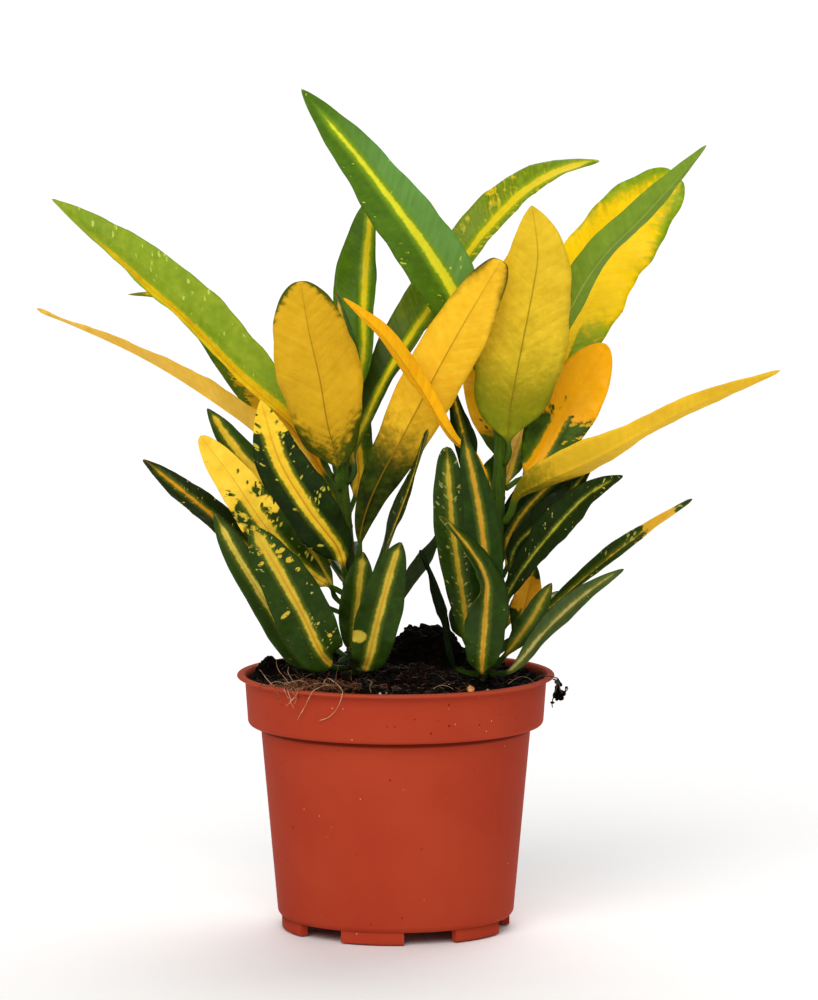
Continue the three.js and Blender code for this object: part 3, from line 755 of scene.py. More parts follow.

# %% [markdown]
# ### Painting the pattern
# A painter would lay the yellow first and then the green, its flecks, the veins and the midrib.
# The material does the same with masks from 0 to 1. `greenness` says how green each share of the
# leaf is, noise in blotches or in streaks along the side veins roughens it, and a soft step at a
# half makes the patches. The band along the midrib, a paler halo beside it, listed patches,
# flecks and the vein lines are laid over them one after the other.

# %% Leaf paint
VEIN_GAP = 5.2                  # mm from one side vein to the next
VEIN_SLOPE = 0.75
MIDRIB_HALO = 0.75
# how fine each cloud of noise is, in changes per mm
BROAD, CLOTTED, FINE = 0.14, 0.36, 0.75
STREAKS_ACROSS, STREAKS_ALONG = 0.07, 0.38
CROWDS, SHADES = 0.09, 0.06
PETIOLE_FROM, PETIOLE_TO = 3.0, -2.0    # mm from the blade's base
# the colour of the painted sheen, a painted reflection on one half of a leaf
PAINTED_SHEEN = "#6a9c48"
UNDERSIDE = "#84903c"


def spots(paint, amount, size, x, vein_line, number, fine):
    """Irregular flecks, drawn out across the blade. amount from 0 to 1 says how many."""
    bend = (fine - 0.5) * 1.9
    where = paint.join(x * 0.75 + bend, vein_line + bend * 0.7, number)
    nearness, chances = paint.cells(where, 0.75 / size)
    reach = paint.step(chances[0] + amount - 1, 0, 0.6) * 0.6
    return paint.step(reach - nearness, 0, 0.2)


def leaf_paint(name, look):
    paint = Paint(name)
    place = paint.attribute("place")
    x, y, number = paint.parts(place)
    across, along, below = paint.parts(paint.attribute("share"))
    out = abs(x)
    vein_line = y - out * VEIN_SLOPE

    # clouds of noise: broad, clotted, fine, and streaks along the side veins
    spread = paint.noise(place, BROAD, 3, 0.6)
    clots = paint.noise(place, CLOTTED, 1)
    fine = paint.noise(place, FINE, 2)
    beside_veins = paint.join(x * STREAKS_ACROSS, vein_line * STREAKS_ALONG, number)
    streaks = paint.noise(beside_veins, 1.0, 2, 0.6)
    blotches = spread * (1 - look["streaky"]) + streaks * look["streaky"]
    unrest = (blotches * 0.7 + clots * 0.3 - 0.5) * 2.6

    # green or yellow. A ramp holds only 0 to 1, so the lists go in scaled and come out again
    margin = paint.profile(along, [e / 2 for e in look["edge"]]) * 2
    profile = (paint.profile(along, [(g + 1) / 4 for g in look["greenness"]]) * 4 - 1
               + abs(across) ** 3 * margin)
    greenness = profile + unrest * look["mottle"] + (fine - 0.5) * 0.35
    is_green = paint.step(greenness, 0.5 - look["soft"], 0.5 + look["soft"])

    # the yellow band along the midrib, narrower towards the tip
    half_band = paint.profile(along, [w / 8 for w in look["band"]]) * 8
    jagged = out + (fine - 0.5) * 0.9 + (spread - 0.5) * 1.5
    inside = half_band - jagged - paint.step(along, look["tip_fade"], 1.02) * 3
    band = paint.step(inside, -look["band_soft"] / 2, look["band_soft"] / 2)
    halo = 0.0
    if max(look["band"]) > 0:
        is_green = is_green * (1 - band)
        halo = paint.step(inside, -look["halo"] - 0.5, 0.3) * MIDRIB_HALO
    for px, py, rx, ry in look["patches"]:
        away = ((x - px) / rx) ** 2 + ((y - py) / ry) ** 2 + (fine - 0.5) * 1.2
        is_green = is_green * paint.step(away, 0.7, 1.5)

    # the two greens, darker at the base, with a painted sheen on one half and paler beside the band
    green = paint.mix(paint.step(unrest, -0.5, 0.9), linear(look["green"]), linear(look["lime"]))
    if look["low"]:
        green = paint.mix(paint.step(along, 0.5, 0.2), green, linear(look["low"]))
    # a painted sheen: one half is mixed towards a pale blue-green that stands in for a reflection
    if look["sheen"]:
        lit = paint.step(x * look["sheen"], 0.8, 4) * (0.35 + streaks * 0.8)
        green = paint.mix(lit * paint.step(along, 0.95, 0.7), green, linear(PAINTED_SHEEN))
    green = paint.mix(halo, green, linear(look["olive"]))
    gold = paint.mix(paint.step(unrest, -0.6, 0.6), linear(look["gold"]),
                     linear(look["deep_gold"]))

    # pale flecks on the green, crowded near the yellow, and green specks on the yellow
    if look["flecks"] > 0:
        crowd = paint.math("MAXIMUM", paint.step(paint.noise(place, CROWDS, 1), 0.4, 0.62),
                           paint.step(profile, 1.4, 0.7))
        fleck = spots(paint, (crowd * 0.65 + 0.12) * (0.8 * look["flecks"]),
                      look["fleck_size"], x, vein_line, number, fine)
        green = paint.mix(fleck * 0.8, green, linear(look["fleck"]))
    if look["specks"] > 0 and min(look["greenness"]) < 0.9:
        nearly = paint.step(profile, -0.5, 0.4)
        speck = spots(paint, nearly * look["specks"], look["fleck_size"], x + 3, vein_line,
                      number, fine)
        is_green = paint.math("MAXIMUM", is_green, speck * (1 - band))
    surface = paint.mix(is_green, gold, green)

    # side veins, the midrib's line, the duller underside and the petiole
    side_vein = paint.math("FRACT", vein_line / VEIN_GAP + (spread - 0.5) * 0.8)
    side_vein = abs(side_vein - 0.5) * 2
    vein = paint.step(side_vein, 0.86, 1.0) * paint.step(out, 0.5, 2.0)
    surface = paint.mix(vein * (1 - is_green * 0.8) * (look["veins"] * 0.3), surface,
                        linear(look["line"]))
    if look["line_width"] > 0:
        middle = paint.step(out, look["line_width"] * 1.3, look["line_width"] * 0.4)
        fading = 1 - along ** 3 * 0.8
        surface = paint.mix(middle * fading * 0.8, surface, linear(look["line"]))
    if look["below_tint"] > 0:
        surface = paint.mix(below * look["below_tint"], surface, linear(UNDERSIDE))
    surface = paint.mix(paint.step(y, PETIOLE_FROM, PETIOLE_TO), surface, linear(look["stalk"]))
    surface = paint.shaded(surface, 0.86 + paint.noise(place, SHADES, 2) * 0.28)

    quilt = side_vein * side_vein * -0.25 + fine * 0.3 + streaks * 0.3
    roughness = look["gloss"] + (spread - 0.5) * 0.2 + below * 0.15
    return paint.finish(surface, roughness, quilt, 0.35 * MM, look["shine"])


# %% Every leaf
leaf_triangles = 0
for number, (name, wanted) in enumerate(LOOKS.items()):
    points, place, share = leaf_mesh(name, number, wanted)
    blade = tube_object(name.replace("leaf", "blade"), points, {"place": place, "share": share})
    blade.data.materials.append(leaf_paint(name, wanted))
    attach(blade, "root")
    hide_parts(name)
    leaf_triangles += 2 * len(blade.data.polygons)
print("leaves:", len(LOOKS), "with", leaf_triangles, "triangles")

# %% [markdown]
# ## The stems
# The two stems are thin and woody below, green above, and ringed where older leaves have
# dropped. Their solids are tubes of level rings, so the finer stem takes the middle and the
# radius of each ring and adds the rings of the scars and fine bark ridges. The bark is paint:
# brown patches below, and above them a green skin with fibres drawn out along the stem.

# %% Stems
STEM_POINTS = 10                # in each of the solid's rings
STEM_STEPS = 150
STEM_ROUND = 20
LOWEST_SCAR = 92 * MM
SCAR_HEIGHT = 0.22 * MM
SCAR_WIDE = 0.5 * MM
RIDGES = 7
RIDGE_HEIGHT = 0.05 * MM
RIDGE_TWIST = 180               # radians for each metre upwards
WOODY_TO = 120 * MM             # the bark is brown up to here
GREEN_FROM = 185 * MM           # and green from here


def stem_form(name):
    points, _ = welded(name)
    order = np.argsort(points[:, 2], kind="stable")
    rings = points[order].reshape(-1, STEM_POINTS, 3)
    middles = rings.mean(axis=1)
    radii = np.linalg.norm(rings[:, :, :2] - middles[:, None, :2], axis=2).mean(axis=1)
    return middles, radii


def stem_mesh(name, seed):
    middles, radii = stem_form(name)
    knots = middles[:, 2]
    heights = np.linspace(knots[0], knots[-1], STEM_STEPS)
    centre = through_points(knots, middles, heights)
    radius = through_points(knots, radii, heights)
    gaps = np.random.default_rng(seed).uniform(3.5, 8, 30)
    scars = np.cumsum(gaps) * MM + LOWEST_SCAR
    swelling = sum(np.exp(-((heights - s) / SCAR_WIDE) ** 2) for s in scars) * SCAR_HEIGHT
    angles = np.linspace(0, 2 * np.pi, STEM_ROUND, endpoint=False)
    ridges = RIDGE_HEIGHT * np.sin(RIDGES * angles[None] + heights[:, None] * RIDGE_TWIST)
    reach = radius[:, None] + swelling[:, None] + ridges
    ring = np.stack([np.cos(angles), np.sin(angles), np.zeros(STEM_ROUND)], axis=1)
    return centre[:, None] + reach[:, :, None] * ring[None]


def stem_paint():
    paint = Paint("stem_bark")
    where = paint.position()
    x, y, z = paint.parts(where)
    young = paint.step(z, WOODY_TO, GREEN_FROM)
    fibres = paint.noise(paint.join(x * 1500, y * 1500, z * 160), 1.0, 3, 0.6)
    patches = paint.noise(where, 260, 2)
    bark = paint.mix(paint.step(patches, 0.35, 0.65), linear("#222a0c"), linear("#343216"))
    skin = paint.mix(fibres, linear("#2a400a"), linear("#4a6612"))
    colour = paint.shaded(paint.mix(young, bark, skin), 0.7 + fibres * 0.6)
    return paint.finish(colour, 0.5 + patches * 0.2, fibres + patches, 0.3 * MM, 0.08)


bark = stem_paint()
for name, seed in (("left_stem", 5), ("right_stem", 6)):
    points = stem_mesh(name, seed)
    stem = tube_object(name + "_bark", points, {})
    stem.data.materials.append(bark)
    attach(stem, "root")
    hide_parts(name)
    print(name, "from", round(points[0, 0, 2] / MM), "to", round(points[-1, 0, 2] / MM), "mm")

# %% [markdown]
# ## The pot
# The pot is injection-moulded polypropylene. All of it but the feet and drain holes is one
# outline turned round the axis, so a Geometry Nodes tree makes it: a circle carries the outline,
# six feet are short arcs of the same kind, and the drain holes are cut with a boolean.
# The outline follows the solid's, with the small roundings that a mould leaves.

# %% Geometry Nodes helper
class Tree:
    """A Geometry Nodes tree while it is built. Its inputs are named numbers."""

    def __init__(self, name, inputs):
        self.group = bpy.data.node_groups.new(name, "GeometryNodeTree")
        self.add_socket("Geometry", "Geometry", "INPUT")
        self.add_socket("Geometry", "Geometry", "OUTPUT")
        for title, value in inputs.items():
            kind = "Int" if isinstance(value, int) else "Float"
            self.add_socket(title, kind, "INPUT").default_value = value
        self.given = self.group.nodes.new("NodeGroupInput")

    def add_socket(self, title, kind, side):
        return self.group.interface.new_socket(title, in_out=side,
                                               socket_type="NodeSocket" + kind)

    def node(self, kind, sockets, output=0, **settings):
        """One node, its settings first. A kind that names no family is a geometry node."""
        family = "" if kind.startswith(("Shader", "Function")) else "GeometryNode"
        made = self.group.nodes.new(family + kind)
        for setting, value in settings.items():
            setattr(made, setting, value)
        for name, value in sockets.items():
            if isinstance(value, bpy.types.NodeSocket):
                self.group.links.new(value, made.inputs[name])
            else:
                made.inputs[name].default_value = value
        return made.outputs[output]

    def input(self, title):
        return self.given.outputs[title]

    def math(self, operation, *terms):
        return self.node("ShaderNodeMath", dict(enumerate(terms)), operation=operation)

    def vector_math(self, operation, sockets):
        return self.node("ShaderNodeVectorMath", sockets, operation=operation)

    def join(self, x=0.0, y=0.0, z=0.0):
        return self.node("ShaderNodeCombineXYZ", {0: x, 1: y, 2: z})

    def random_number(self, low, high, seed):
        return self.node("FunctionNodeRandomValue", {2: low, 3: high, "Seed": seed}, 1,
                         data_type="FLOAT")

    def random_vector(self, low, high, seed):
        return self.node("FunctionNodeRandomValue", {0: low, 1: high, "Seed": seed},
                         data_type="FLOAT_VECTOR")

    def drift(self, scale):
        """A smooth random vector at each point, with parts from about -0.5 to 0.5."""
        here = self.node("InputPosition", {})
        clouds = self.node("ShaderNodeTexNoise", {"Vector": here, "Scale": scale, "Detail": 1.0},
                           "Color")
        return self.vector_math("SUBTRACT", {0: clouds, 1: (0.5, 0.5, 0.5)})

    def moved(self, geometry, offset):
        return self.node("SetPosition", {"Geometry": geometry, "Offset": offset})

    def on_points(self, points, instance, turned=(0, 0, 0), scale=(1, 1, 1)):
        """Real copies of one shape, one on each point."""
        copies = self.node("InstanceOnPoints", {
            "Points": points, "Instance": instance, "Rotation": turned, "Scale": scale})
        return self.node("RealizeInstances", {"Geometry": copies})

    def scattered(self):
        """Points strewn over the mesh the tree is given."""
        return self.node("DistributePointsOnFaces", {
            "Mesh": self.input("Geometry"), "Density": self.input("Per Square Metre"),
            "Seed": self.input("Seed")}, distribute_method="RANDOM")

    def finish(self, geometry, material):
        real = self.node("RealizeInstances", {"Geometry": geometry})
        done = self.node("SetMaterial", {"Geometry": real, "Material": material})
        output = self.group.nodes.new("NodeGroupOutput")
        self.group.links.new(done, output.inputs["Geometry"])
        return self.group


print("tree helper ready")


# %% Growing a tree on a mesh
def grow(name, group, base_mesh, values):
    """Runs a tree on a mesh and keeps the result as a plain object."""
    holder = add_object(name + "_holder", base_mesh)
    modifier = holder.modifiers.new("grow", "NODES")
    modifier.node_group = group
    for item in group.interface.items_tree:
        if item.item_type == "SOCKET" and item.name in values:
            modifier[item.identifier] = values[item.name]
    seen = bpy.context.evaluated_depsgraph_get()
    mesh = bpy.data.meshes.new_from_object(holder.evaluated_get(seen))
    mesh.name = name
    bpy.data.objects.remove(holder)
    return add_object(name, mesh)


def line_mesh(name, lines, closed=False):
    """Lines of points in mm as loose edges."""
    points, edges = [], []
    for line in lines:
        start = len(points)
        points += [tuple(c * MM for c in p) for p in line]
        edges += [(start + i, start + i + 1) for i in range(len(line) - 1)]
        if closed:
            edges.append((len(points) - 1, start))
    mesh = bpy.data.meshes.new(name)
    mesh.from_pydata(points, edges, [])
    return mesh


print("ready to grow trees on meshes and lines")

# %% Pot outline
POT_HEIGHT = 96.4               # mm, as every size of the pot here
POT_ROUNDING = 0.7
FOOT_ROUNDING = 0.35
CARRIER = 50.0                  # radius of the circle that carries the outline
FEET = 6


def rounded(outline, radius, steps):
    """The outline with each corner rounded by at most radius."""
    result = [outline[0]]
    for before, corner, after in zip(outline, outline[1:], outline[2:]):
        before, corner, after = (np.array(p, float) for p in (before, corner, after))
        size = min(radius, np.linalg.norm(before - corner) * 0.45,
                   np.linalg.norm(after - corner) * 0.45)
        start = corner + (before - corner) / np.linalg.norm(before - corner) * size
        end = corner + (after - corner) / np.linalg.norm(after - corner) * size
        for i in range(steps + 1):
            t = i / steps
            result.append(tuple((1 - t) ** 2 * start + 2 * t * (1 - t) * corner + t * t * end))
    return result + [outline[-1]]


def outline_mesh(name, outline):
    """A closed outline of (radius, height). Its circle carries x outwards and y downwards."""
    return line_mesh(name, [[(radius - CARRIER, -height, 0) for radius, height in outline]], True)


pot_outline = rounded([
    (3.5, 4.5), (37.6, 4.5), (37.9, 5.1), (39.2, 5.1), (39.5, 4.5), (43.3, 4.5), (44.6, 6.2),
    (51, 76.9), (51.35, 77.25), (54.9, 77.25), (55.75, 78.3), (56.9, 94.4), (57.5, 95.1),
    (59.6, 95.15), (60, 95.7), (59.5, POT_HEIGHT), (57.1, POT_HEIGHT), (55.9, 94.2),
    (54.7, 78.5), (49.9, 78.3), (43.5, 6), (3.5, 6)], POT_ROUNDING, 4)
foot_outline = rounded([(40, 5), (40, 0), (43.1, 0), (43.1, 5)], FOOT_ROUNDING, 2)
print("points of the pot's outline:", len(pot_outline), "and of a foot's:", len(foot_outline))


# %% Pot tree
def pot_tree(material, foot_holder):
    tree = Tree("turned_pot", {
        "Sides": 144, "Foot Count": FEET, "First Foot": -102.0, "Foot Span": 32.0,
        "Drain Radius": 3.5 * MM, "Drain Circle": 30 * MM})
    count, first, span = (tree.input(t) for t in ("Foot Count", "First Foot", "Foot Span"))

    circle = tree.node("CurvePrimitiveCircle", {"Resolution": tree.input("Sides"),
                                                "Radius": CARRIER * MM})
    level = tree.node("SetCurveNormal", {"Curve": circle}, mode="Z_UP")
    outline = tree.node("MeshToCurve", {"Mesh": tree.input("Geometry")})
    shell = tree.node("CurveToMesh", {"Curve": level, "Profile Curve": outline})

    ring = tree.node("CurvePrimitiveCircle", {"Resolution": count,
                                              "Radius": tree.input("Drain Circle")})
    places = tree.node("CurveToPoints", {"Curve": ring}, mode="EVALUATED")
    drill = tree.node("MeshCylinder", {"Vertices": 32, "Radius": tree.input("Drain Radius"),
                                       "Depth": 12 * MM})
    half_step = tree.math("DIVIDE", 180.0, count)
    turn = tree.math("RADIANS", tree.math("ADD", first, half_step))
    drills = tree.node("Transform", {
        "Geometry": tree.on_points(places, drill), "Translation": (0, 0, 5 * MM),
        "Rotation": tree.join(z=turn)})
    cut = tree.node("MeshBoolean", {"Mesh 1": shell, "Mesh 2": drills},
                    operation="DIFFERENCE", solver="EXACT")

    arc = tree.node("CurveArc", {
        "Resolution": 13, "Radius": CARRIER * MM, "Sweep Angle": tree.math("RADIANS", span),
        "Start Angle": tree.math("RADIANS", tree.math("MULTIPLY", span, -0.5))})
    level_arc = tree.node("SetCurveNormal", {"Curve": arc}, mode="Z_UP")
    given = tree.node("ObjectInfo", {"Object": foot_holder}, "Geometry")
    foot = tree.node("CurveToMesh", {
        "Curve": level_arc, "Profile Curve": tree.node("MeshToCurve", {"Mesh": given}),
        "Fill Caps": True})
    spots = tree.node("Points", {"Count": count})
    step = tree.math("DIVIDE", 360.0, count)
    angle = tree.math("ADD", tree.math("MULTIPLY", tree.node("InputIndex", {}), step), first)
    facing = tree.join(z=tree.math("RADIANS", angle))
    feet = tree.on_points(spots, foot, facing)

    joined = tree.group.nodes.new("GeometryNodeJoinGeometry")
    tree.group.links.new(feet, joined.inputs[0])
    tree.group.links.new(cut, joined.inputs[0])
    return tree.finish(joined.outputs[0], material)


print("a foot every", 360 / FEET, "degrees")

# %% [markdown]
# ### The pot's finish
# Terracotta-coloured plastic is one even colour with a soft sheen. What tells it from a plain red
# is small: a crease of painted shade under the rim, a darker inner wall that moisture and soil
# have stained, a paler worn rim, and specks of dust. Each is a mask on the place on the object.

# %% Pot paint
PLASTIC = ("#a63924", "#ac3f27")
WORN_RIM = "#b4583c"
# the colour of the painted shade just under the rim
PAINTED_CREASE_SHADE = "#5c180c"
STAINED_WALL = "#4c2416"
RIM_UNDERSIDE = 76.2 * MM
WALL_SLOPE = 0.0735             # how far the rim's wall leans out for each mm upwards
# the stain ends inside the leaning wall, between two radii that are carried down to z = 0
STAIN_ENDS = 49.65 * MM
STAIN_FULL = 49.25 * MM
STAIN_FROM = 78.5 * MM          # the ledge at the foot of the rim's wall
# where dust lies thick on the front: across, up, and how far each way
DUSTY = (26 * MM, 86 * MM, 20 * MM, 7 * MM)
# how many to a metre, how rare, how large, in which colour, and how much denser in the dust
PALE_SPECKS = (520, 0.95, 0.075, "#e2a888", 0.12)
DARK_SPECKS = (380, 0.955, 0.1, "#64200f", 0.36)


def pot_paint():
    paint = Paint("terracotta_plastic")
    where = paint.position()
    x, y, z = paint.parts(where)
    cloud = paint.noise(where, 28, 3)
    grain = paint.noise(where, 2600, 2)
    colour = paint.mix(paint.step(cloud, 0.3, 0.7), linear(PLASTIC[0]), linear(PLASTIC[1]))
    rim = paint.step(z, 0.0935, 0.0962)
    colour = paint.mix(rim * 0.3, colour, linear(WORN_RIM))
    # painted shade: a dark line on the wall just under the rim's underside, where the band shades
    # it
    crease_shade = paint.step(abs(z - RIM_UNDERSIDE), 1.4 * MM, 0.3 * MM)
    colour = paint.mix(crease_shade * 0.9, colour, linear(PAINTED_CREASE_SHADE))
    wall_line = (x * x + y * y) ** 0.5 - z * WALL_SLOPE
    inner = (paint.step(wall_line, STAIN_ENDS, STAIN_FULL)
             * paint.step(z, STAIN_FROM, STAIN_FROM + 1 * MM))
    colour = paint.mix(inner * (0.4 + cloud * 0.6), colour, linear(STAINED_WALL))
    dust_x, dust_z, wide, high = DUSTY
    dusty = paint.step(((x - dust_x) / wide) ** 2 + ((z - dust_z) / high) ** 2, 1.2, 0.3)
    for scale, rarity, size, tone, dust in (PALE_SPECKS, DARK_SPECKS):
        away, chances = paint.cells(where, scale)
        speck = (paint.step(chances[2] + dusty * dust, rarity, 1.0)
                 * paint.step(away, size * 2.4, size))
        colour = paint.mix(speck * 0.85, colour, linear(tone))
    roughness = 0.56 + (cloud - 0.5) * 0.15 + (grain - 0.5) * 0.1
    return paint.finish(colour, roughness, grain * 0.15 + cloud * 2, 0.12 * MM, 0.02)


foot_holder = add_object("foot_outline", outline_mesh("foot_outline", foot_outline))
pot = grow("moulded_pot", pot_tree(pot_paint(), foot_holder),
           outline_mesh("pot_outline", pot_outline), {})
bpy.data.objects.remove(foot_holder)
pot.data.shade_smooth()
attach(pot, "root")
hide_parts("pot")
print("pot faces:", len(pot.data.polygons))

# %% [markdown]
# ## The soil
# Potting soil is peat and coir: nearly black, full of crumbs, with brown fibres, a few white
# perlite grains, and pale roots where it has been pushed aside. The bed follows the solid's
# heights, read by rays from above. It gets finer bumps, and the heap behind is squared off into
# two flat tops with steep sides, as in the picture. The bed is a disc of rings and spokes with a
# skirt below the rim, because only its top shows.

# %% Soil heights
SOIL_EDGE = 54.9                # the bed's radius in mm, as every size here
LOWEST_TOP = 88                 # a ray that hits below this has missed the soil's top
LEVEL_TOP = 93.0                # the height where no ray hits the top
RAY_START = 200
EIGHTH_TURN = 0.785
OFF_SEAM = 0.1                  # a ray exactly on a seam of the solid can slip through
# where, how far each way and how high the heap's flat tops are
HEAP_TOPS = ((11.2, 25, 8.4, 6.5, 108.2), (1.0, 22, 3.5, 5, 102.8))


def solid_tree(name):
    mesh = nodes[name].data
    mesh.calc_loop_triangles()
    corners = [tuple(t.vertices) for t in mesh.loop_triangles]
    return BVHTree.FromPolygons([v.co[:] for v in mesh.vertices], corners)


soil_solid = solid_tree("soil")


def solid_height(x, y):
    """The soil's top at a place. Where a stem goes through, the highest point nearby."""
    for reach in (0, 2, 4, 6):
        found = []
        for turn in range(8 if reach else 1):
            start = Vector((x + reach * math.cos(turn * EIGHTH_TURN),
                            y + reach * math.sin(turn * EIGHTH_TURN), RAY_START)) * MM
            hit = soil_solid.ray_cast(start, Vector((0, 0, -1)))[0]
            if hit is not None and hit.z > LOWEST_TOP * MM:
                found.append(hit.z / MM)
        if found:
            return max(found)
    return LEVEL_TOP


def roughness_at(x, y):
    """Bumps of loose soil, larger on the heap behind."""
    heap = math.exp(-(((x - 12) / 15) ** 2 + ((y - 25) / 12) ** 2))
    spot = Vector((x, y, 0)) * 0.16
    coarse = noise.fractal(spot, 0.6, 2.2, 4)
    sharp = abs(noise.noise(spot * 3.1)) + 0.5 * abs(noise.noise(spot * 7.3))
    return coarse * (0.9 + 0.9 * heap) + sharp * (0.9 + 2.6 * heap) - 0.5 - 0.4 * heap


def bed_height(x, y):
    """The solid's height with the heap squared off, and bumps that fade towards the edge."""
    height, bumps = solid_height(x, y), roughness_at(x, y)
    for top_x, top_y, half_x, half_y, top_height in HEAP_TOPS:
        off = max(abs(x - top_x) / half_x, abs(y - top_y) / half_y)
        share = max(0.0, min(1.0, 6 - 6 * off))
        height = max(height, height + (top_height - height) * share)
        bumps *= 1 - 0.6 * share
    return height + bumps * (0.3 + 0.7 * min(1, (SOIL_EDGE - math.hypot(x, y)) / 3))


print("the soil's height at the front, in mm:", round(bed_height(0, -45), 1))

# %% Soil bed
SKIRT_RADIUS = 52.5
SKIRT_HEIGHT = 80
BED_RINGS = 70
BED_SPOKES = 240


def circle_of(radius):
    turns = [2 * math.pi * k / BED_SPOKES for k in range(BED_SPOKES)]
    return [(radius * math.cos(turn), radius * math.sin(turn)) for turn in turns]


neighbours = [(k, (k + 1) % BED_SPOKES) for k in range(BED_SPOKES)]
bed_points = [(0.0, 0.0, bed_height(OFF_SEAM, OFF_SEAM))]
top_faces = [(0, 1 + k, 1 + n) for k, n in neighbours]
for i in range(1, BED_RINGS + 1):
    bed_points += [(x, y, bed_height(x, y or OFF_SEAM))
                   for x, y in circle_of(SOIL_EDGE * (i / BED_RINGS) ** 0.9)]
for i in range(BED_RINGS - 1):
    a, b = 1 + i * BED_SPOKES, 1 + (i + 1) * BED_SPOKES
    top_faces += [(a + k, b + k, b + n, a + n) for k, n in neighbours]
rim_start, skirt_start = len(bed_points) - BED_SPOKES, len(bed_points)
bed_points += [(x, y, SKIRT_HEIGHT) for x, y in circle_of(SKIRT_RADIUS)]
skirt_faces = [(rim_start + k, skirt_start + k, skirt_start + n, rim_start + n)
               for k, n in neighbours]
bottom = tuple(skirt_start + k for k in range(BED_SPOKES - 1, -1, -1))
bed_mesh = bpy.data.meshes.new("soil_bed")
bed_mesh.from_pydata([tuple(c * MM for c in p) for p in bed_points], [],
                     top_faces + skirt_faces + [bottom])
bed_mesh.shade_smooth()
bed = add_object("soil_bed", bed_mesh)
print("bed points:", len(bed_points), "highest at", round(max(p[2] for p in bed_points), 1), "mm")


# %% Soil paint
def soil_paint(name, low, high, fine_scale):
    paint = Paint(name)
    where = paint.position()
    broad = paint.noise(where, 130, 3)
    fine = paint.noise(where, fine_scale, 4, 0.65)
    colour = paint.mix(paint.step(fine * 0.6 + broad * 0.4, 0.38, 0.62), linear(low), linear(high))
    return paint.finish(colour, 0.85 + (fine - 0.5) * 0.2, fine, 0.5 * MM, 0.04)


def plain_paint(name, low, high, scale, roughness):
    """Two tones in soft clouds, for the small things on the soil."""
    paint = Paint(name)
    cloud = paint.noise(paint.position(), scale, 3)
    colour = paint.mix(paint.step(cloud, 0.35, 0.65), linear(low), linear(high))
    return paint.finish(colour, roughness, cloud, 0.2 * MM)


soil_black = soil_paint("soil_black", "#040302", "#140d08", 900)
soil_brown = soil_paint("soil_brown", "#0a0603", "#1e1209", 1200)
fibre_brown = plain_paint("fibre_brown", "#120a05", "#8e5228", 600, 0.8)
root_tan = plain_paint("root_tan", "#a8744a", "#d9b088", 300, 0.6)
perlite_white = plain_paint("perlite_white", "#8a8578", "#c8c3b6", 900, 0.8)
feed_orange = plain_paint("feed_orange", "#b3722d", "#dfa35c", 900, 0.5)
root_dark = plain_paint("root_dark", "#1c120d", "#4a382c", 700, 0.8)
bed_mesh.materials.append(soil_black)
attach(bed, "root")
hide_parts("soil")
print("soil finishes:", [m.name for m in (soil_black, soil_brown, fibre_brown, root_dark)])

# %% [markdown]
# ### Crumbs and fibres
# Loose soil is crumbs of all sizes and short bent coir hairs that lie nearly flat. They repeat by
# the thousand, so two Geometry Nodes trees scatter them over the bed. Each crumb is a ball of few
# faces, stretched, turned and dented by noise. Each hair is a short bow with a square section.
# Patches of the bed are given a denser or a coarser scatter: the heap, the mound in front of the
# stems, and the mat of coir at the front left.

# %% Crumb and fibre trees
FULL_TURN = 6.28                # radians


def crumb_tree(material):
    tree = Tree("scattered_crumbs", {
        "Per Square Metre": 2.0e5, "Smallest": 0.4 * MM, "Largest": 1.6 * MM,
        "Uneven": 0.9 * MM, "Seed": 3})
    seed, smallest = tree.input("Seed"), tree.input("Smallest")
    crumb = tree.node("MeshIcoSphere", {"Radius": 1.0, "Subdivisions": 2})
    spin = tree.random_vector((0, 0, 0), (FULL_TURN,) * 3, seed)
    size = tree.random_number(0.0, 1.0, tree.math("ADD", seed, 1.0))
    skewed = tree.math("MULTIPLY", tree.math("POWER", size, 2.2),
                       tree.math("SUBTRACT", tree.input("Largest"), smallest))
    stretch = tree.random_vector((0.6,) * 3, (1.3,) * 3, tree.math("ADD", seed, 2.0))
    scale = tree.vector_math("SCALE", {0: stretch, "Scale": tree.math("ADD", skewed, smallest)})
    crumbs = tree.on_points(tree.scattered(), crumb, spin, scale)
    dents = tree.vector_math("SCALE", {0: tree.drift(700.0), "Scale": tree.input("Uneven")})
    return tree.finish(tree.moved(crumbs, dents), material)


def fibre_tree(material):
    tree = Tree("scattered_fibres", {
        "Per Square Metre": 5.0e4, "Length": 5 * MM, "Thickness": 0.11 * MM,
        "Lift": 0.5 * MM, "Seed": 5})
    seed, length = tree.input("Seed"), tree.input("Length")
    bow = tree.node("CurveQuadraticBezier", {
        "Resolution": 5, "Start": (-0.5, 0, 0), "Middle": (0, 0.5, 0.1), "End": (0.5, 0, 0)})
    longer = tree.node("Transform", {"Geometry": bow, "Scale": tree.join(length, length, length)})
    section = tree.node("CurvePrimitiveCircle", {"Resolution": 4,
                                                 "Radius": tree.input("Thickness")})
    hair = tree.node("CurveToMesh", {"Curve": longer, "Profile Curve": section,
                                     "Fill Caps": True})
    spin = tree.random_vector((-0.5, -0.5, 0), (0.5, 0.5, FULL_TURN), seed)
    size = tree.random_number(0.35, 1.2, tree.math("ADD", seed, 1.0))
    hairs = tree.on_points(tree.scattered(), hair, spin, size)
    bends = tree.vector_math("MULTIPLY_ADD", {
        0: tree.drift(260.0), 1: (2.4 * MM, 2.4 * MM, 1.2 * MM),
        2: tree.join(z=tree.input("Lift"))})
    return tree.finish(tree.moved(hairs, bends), material)


print("trees for crumbs and fibres are ready")


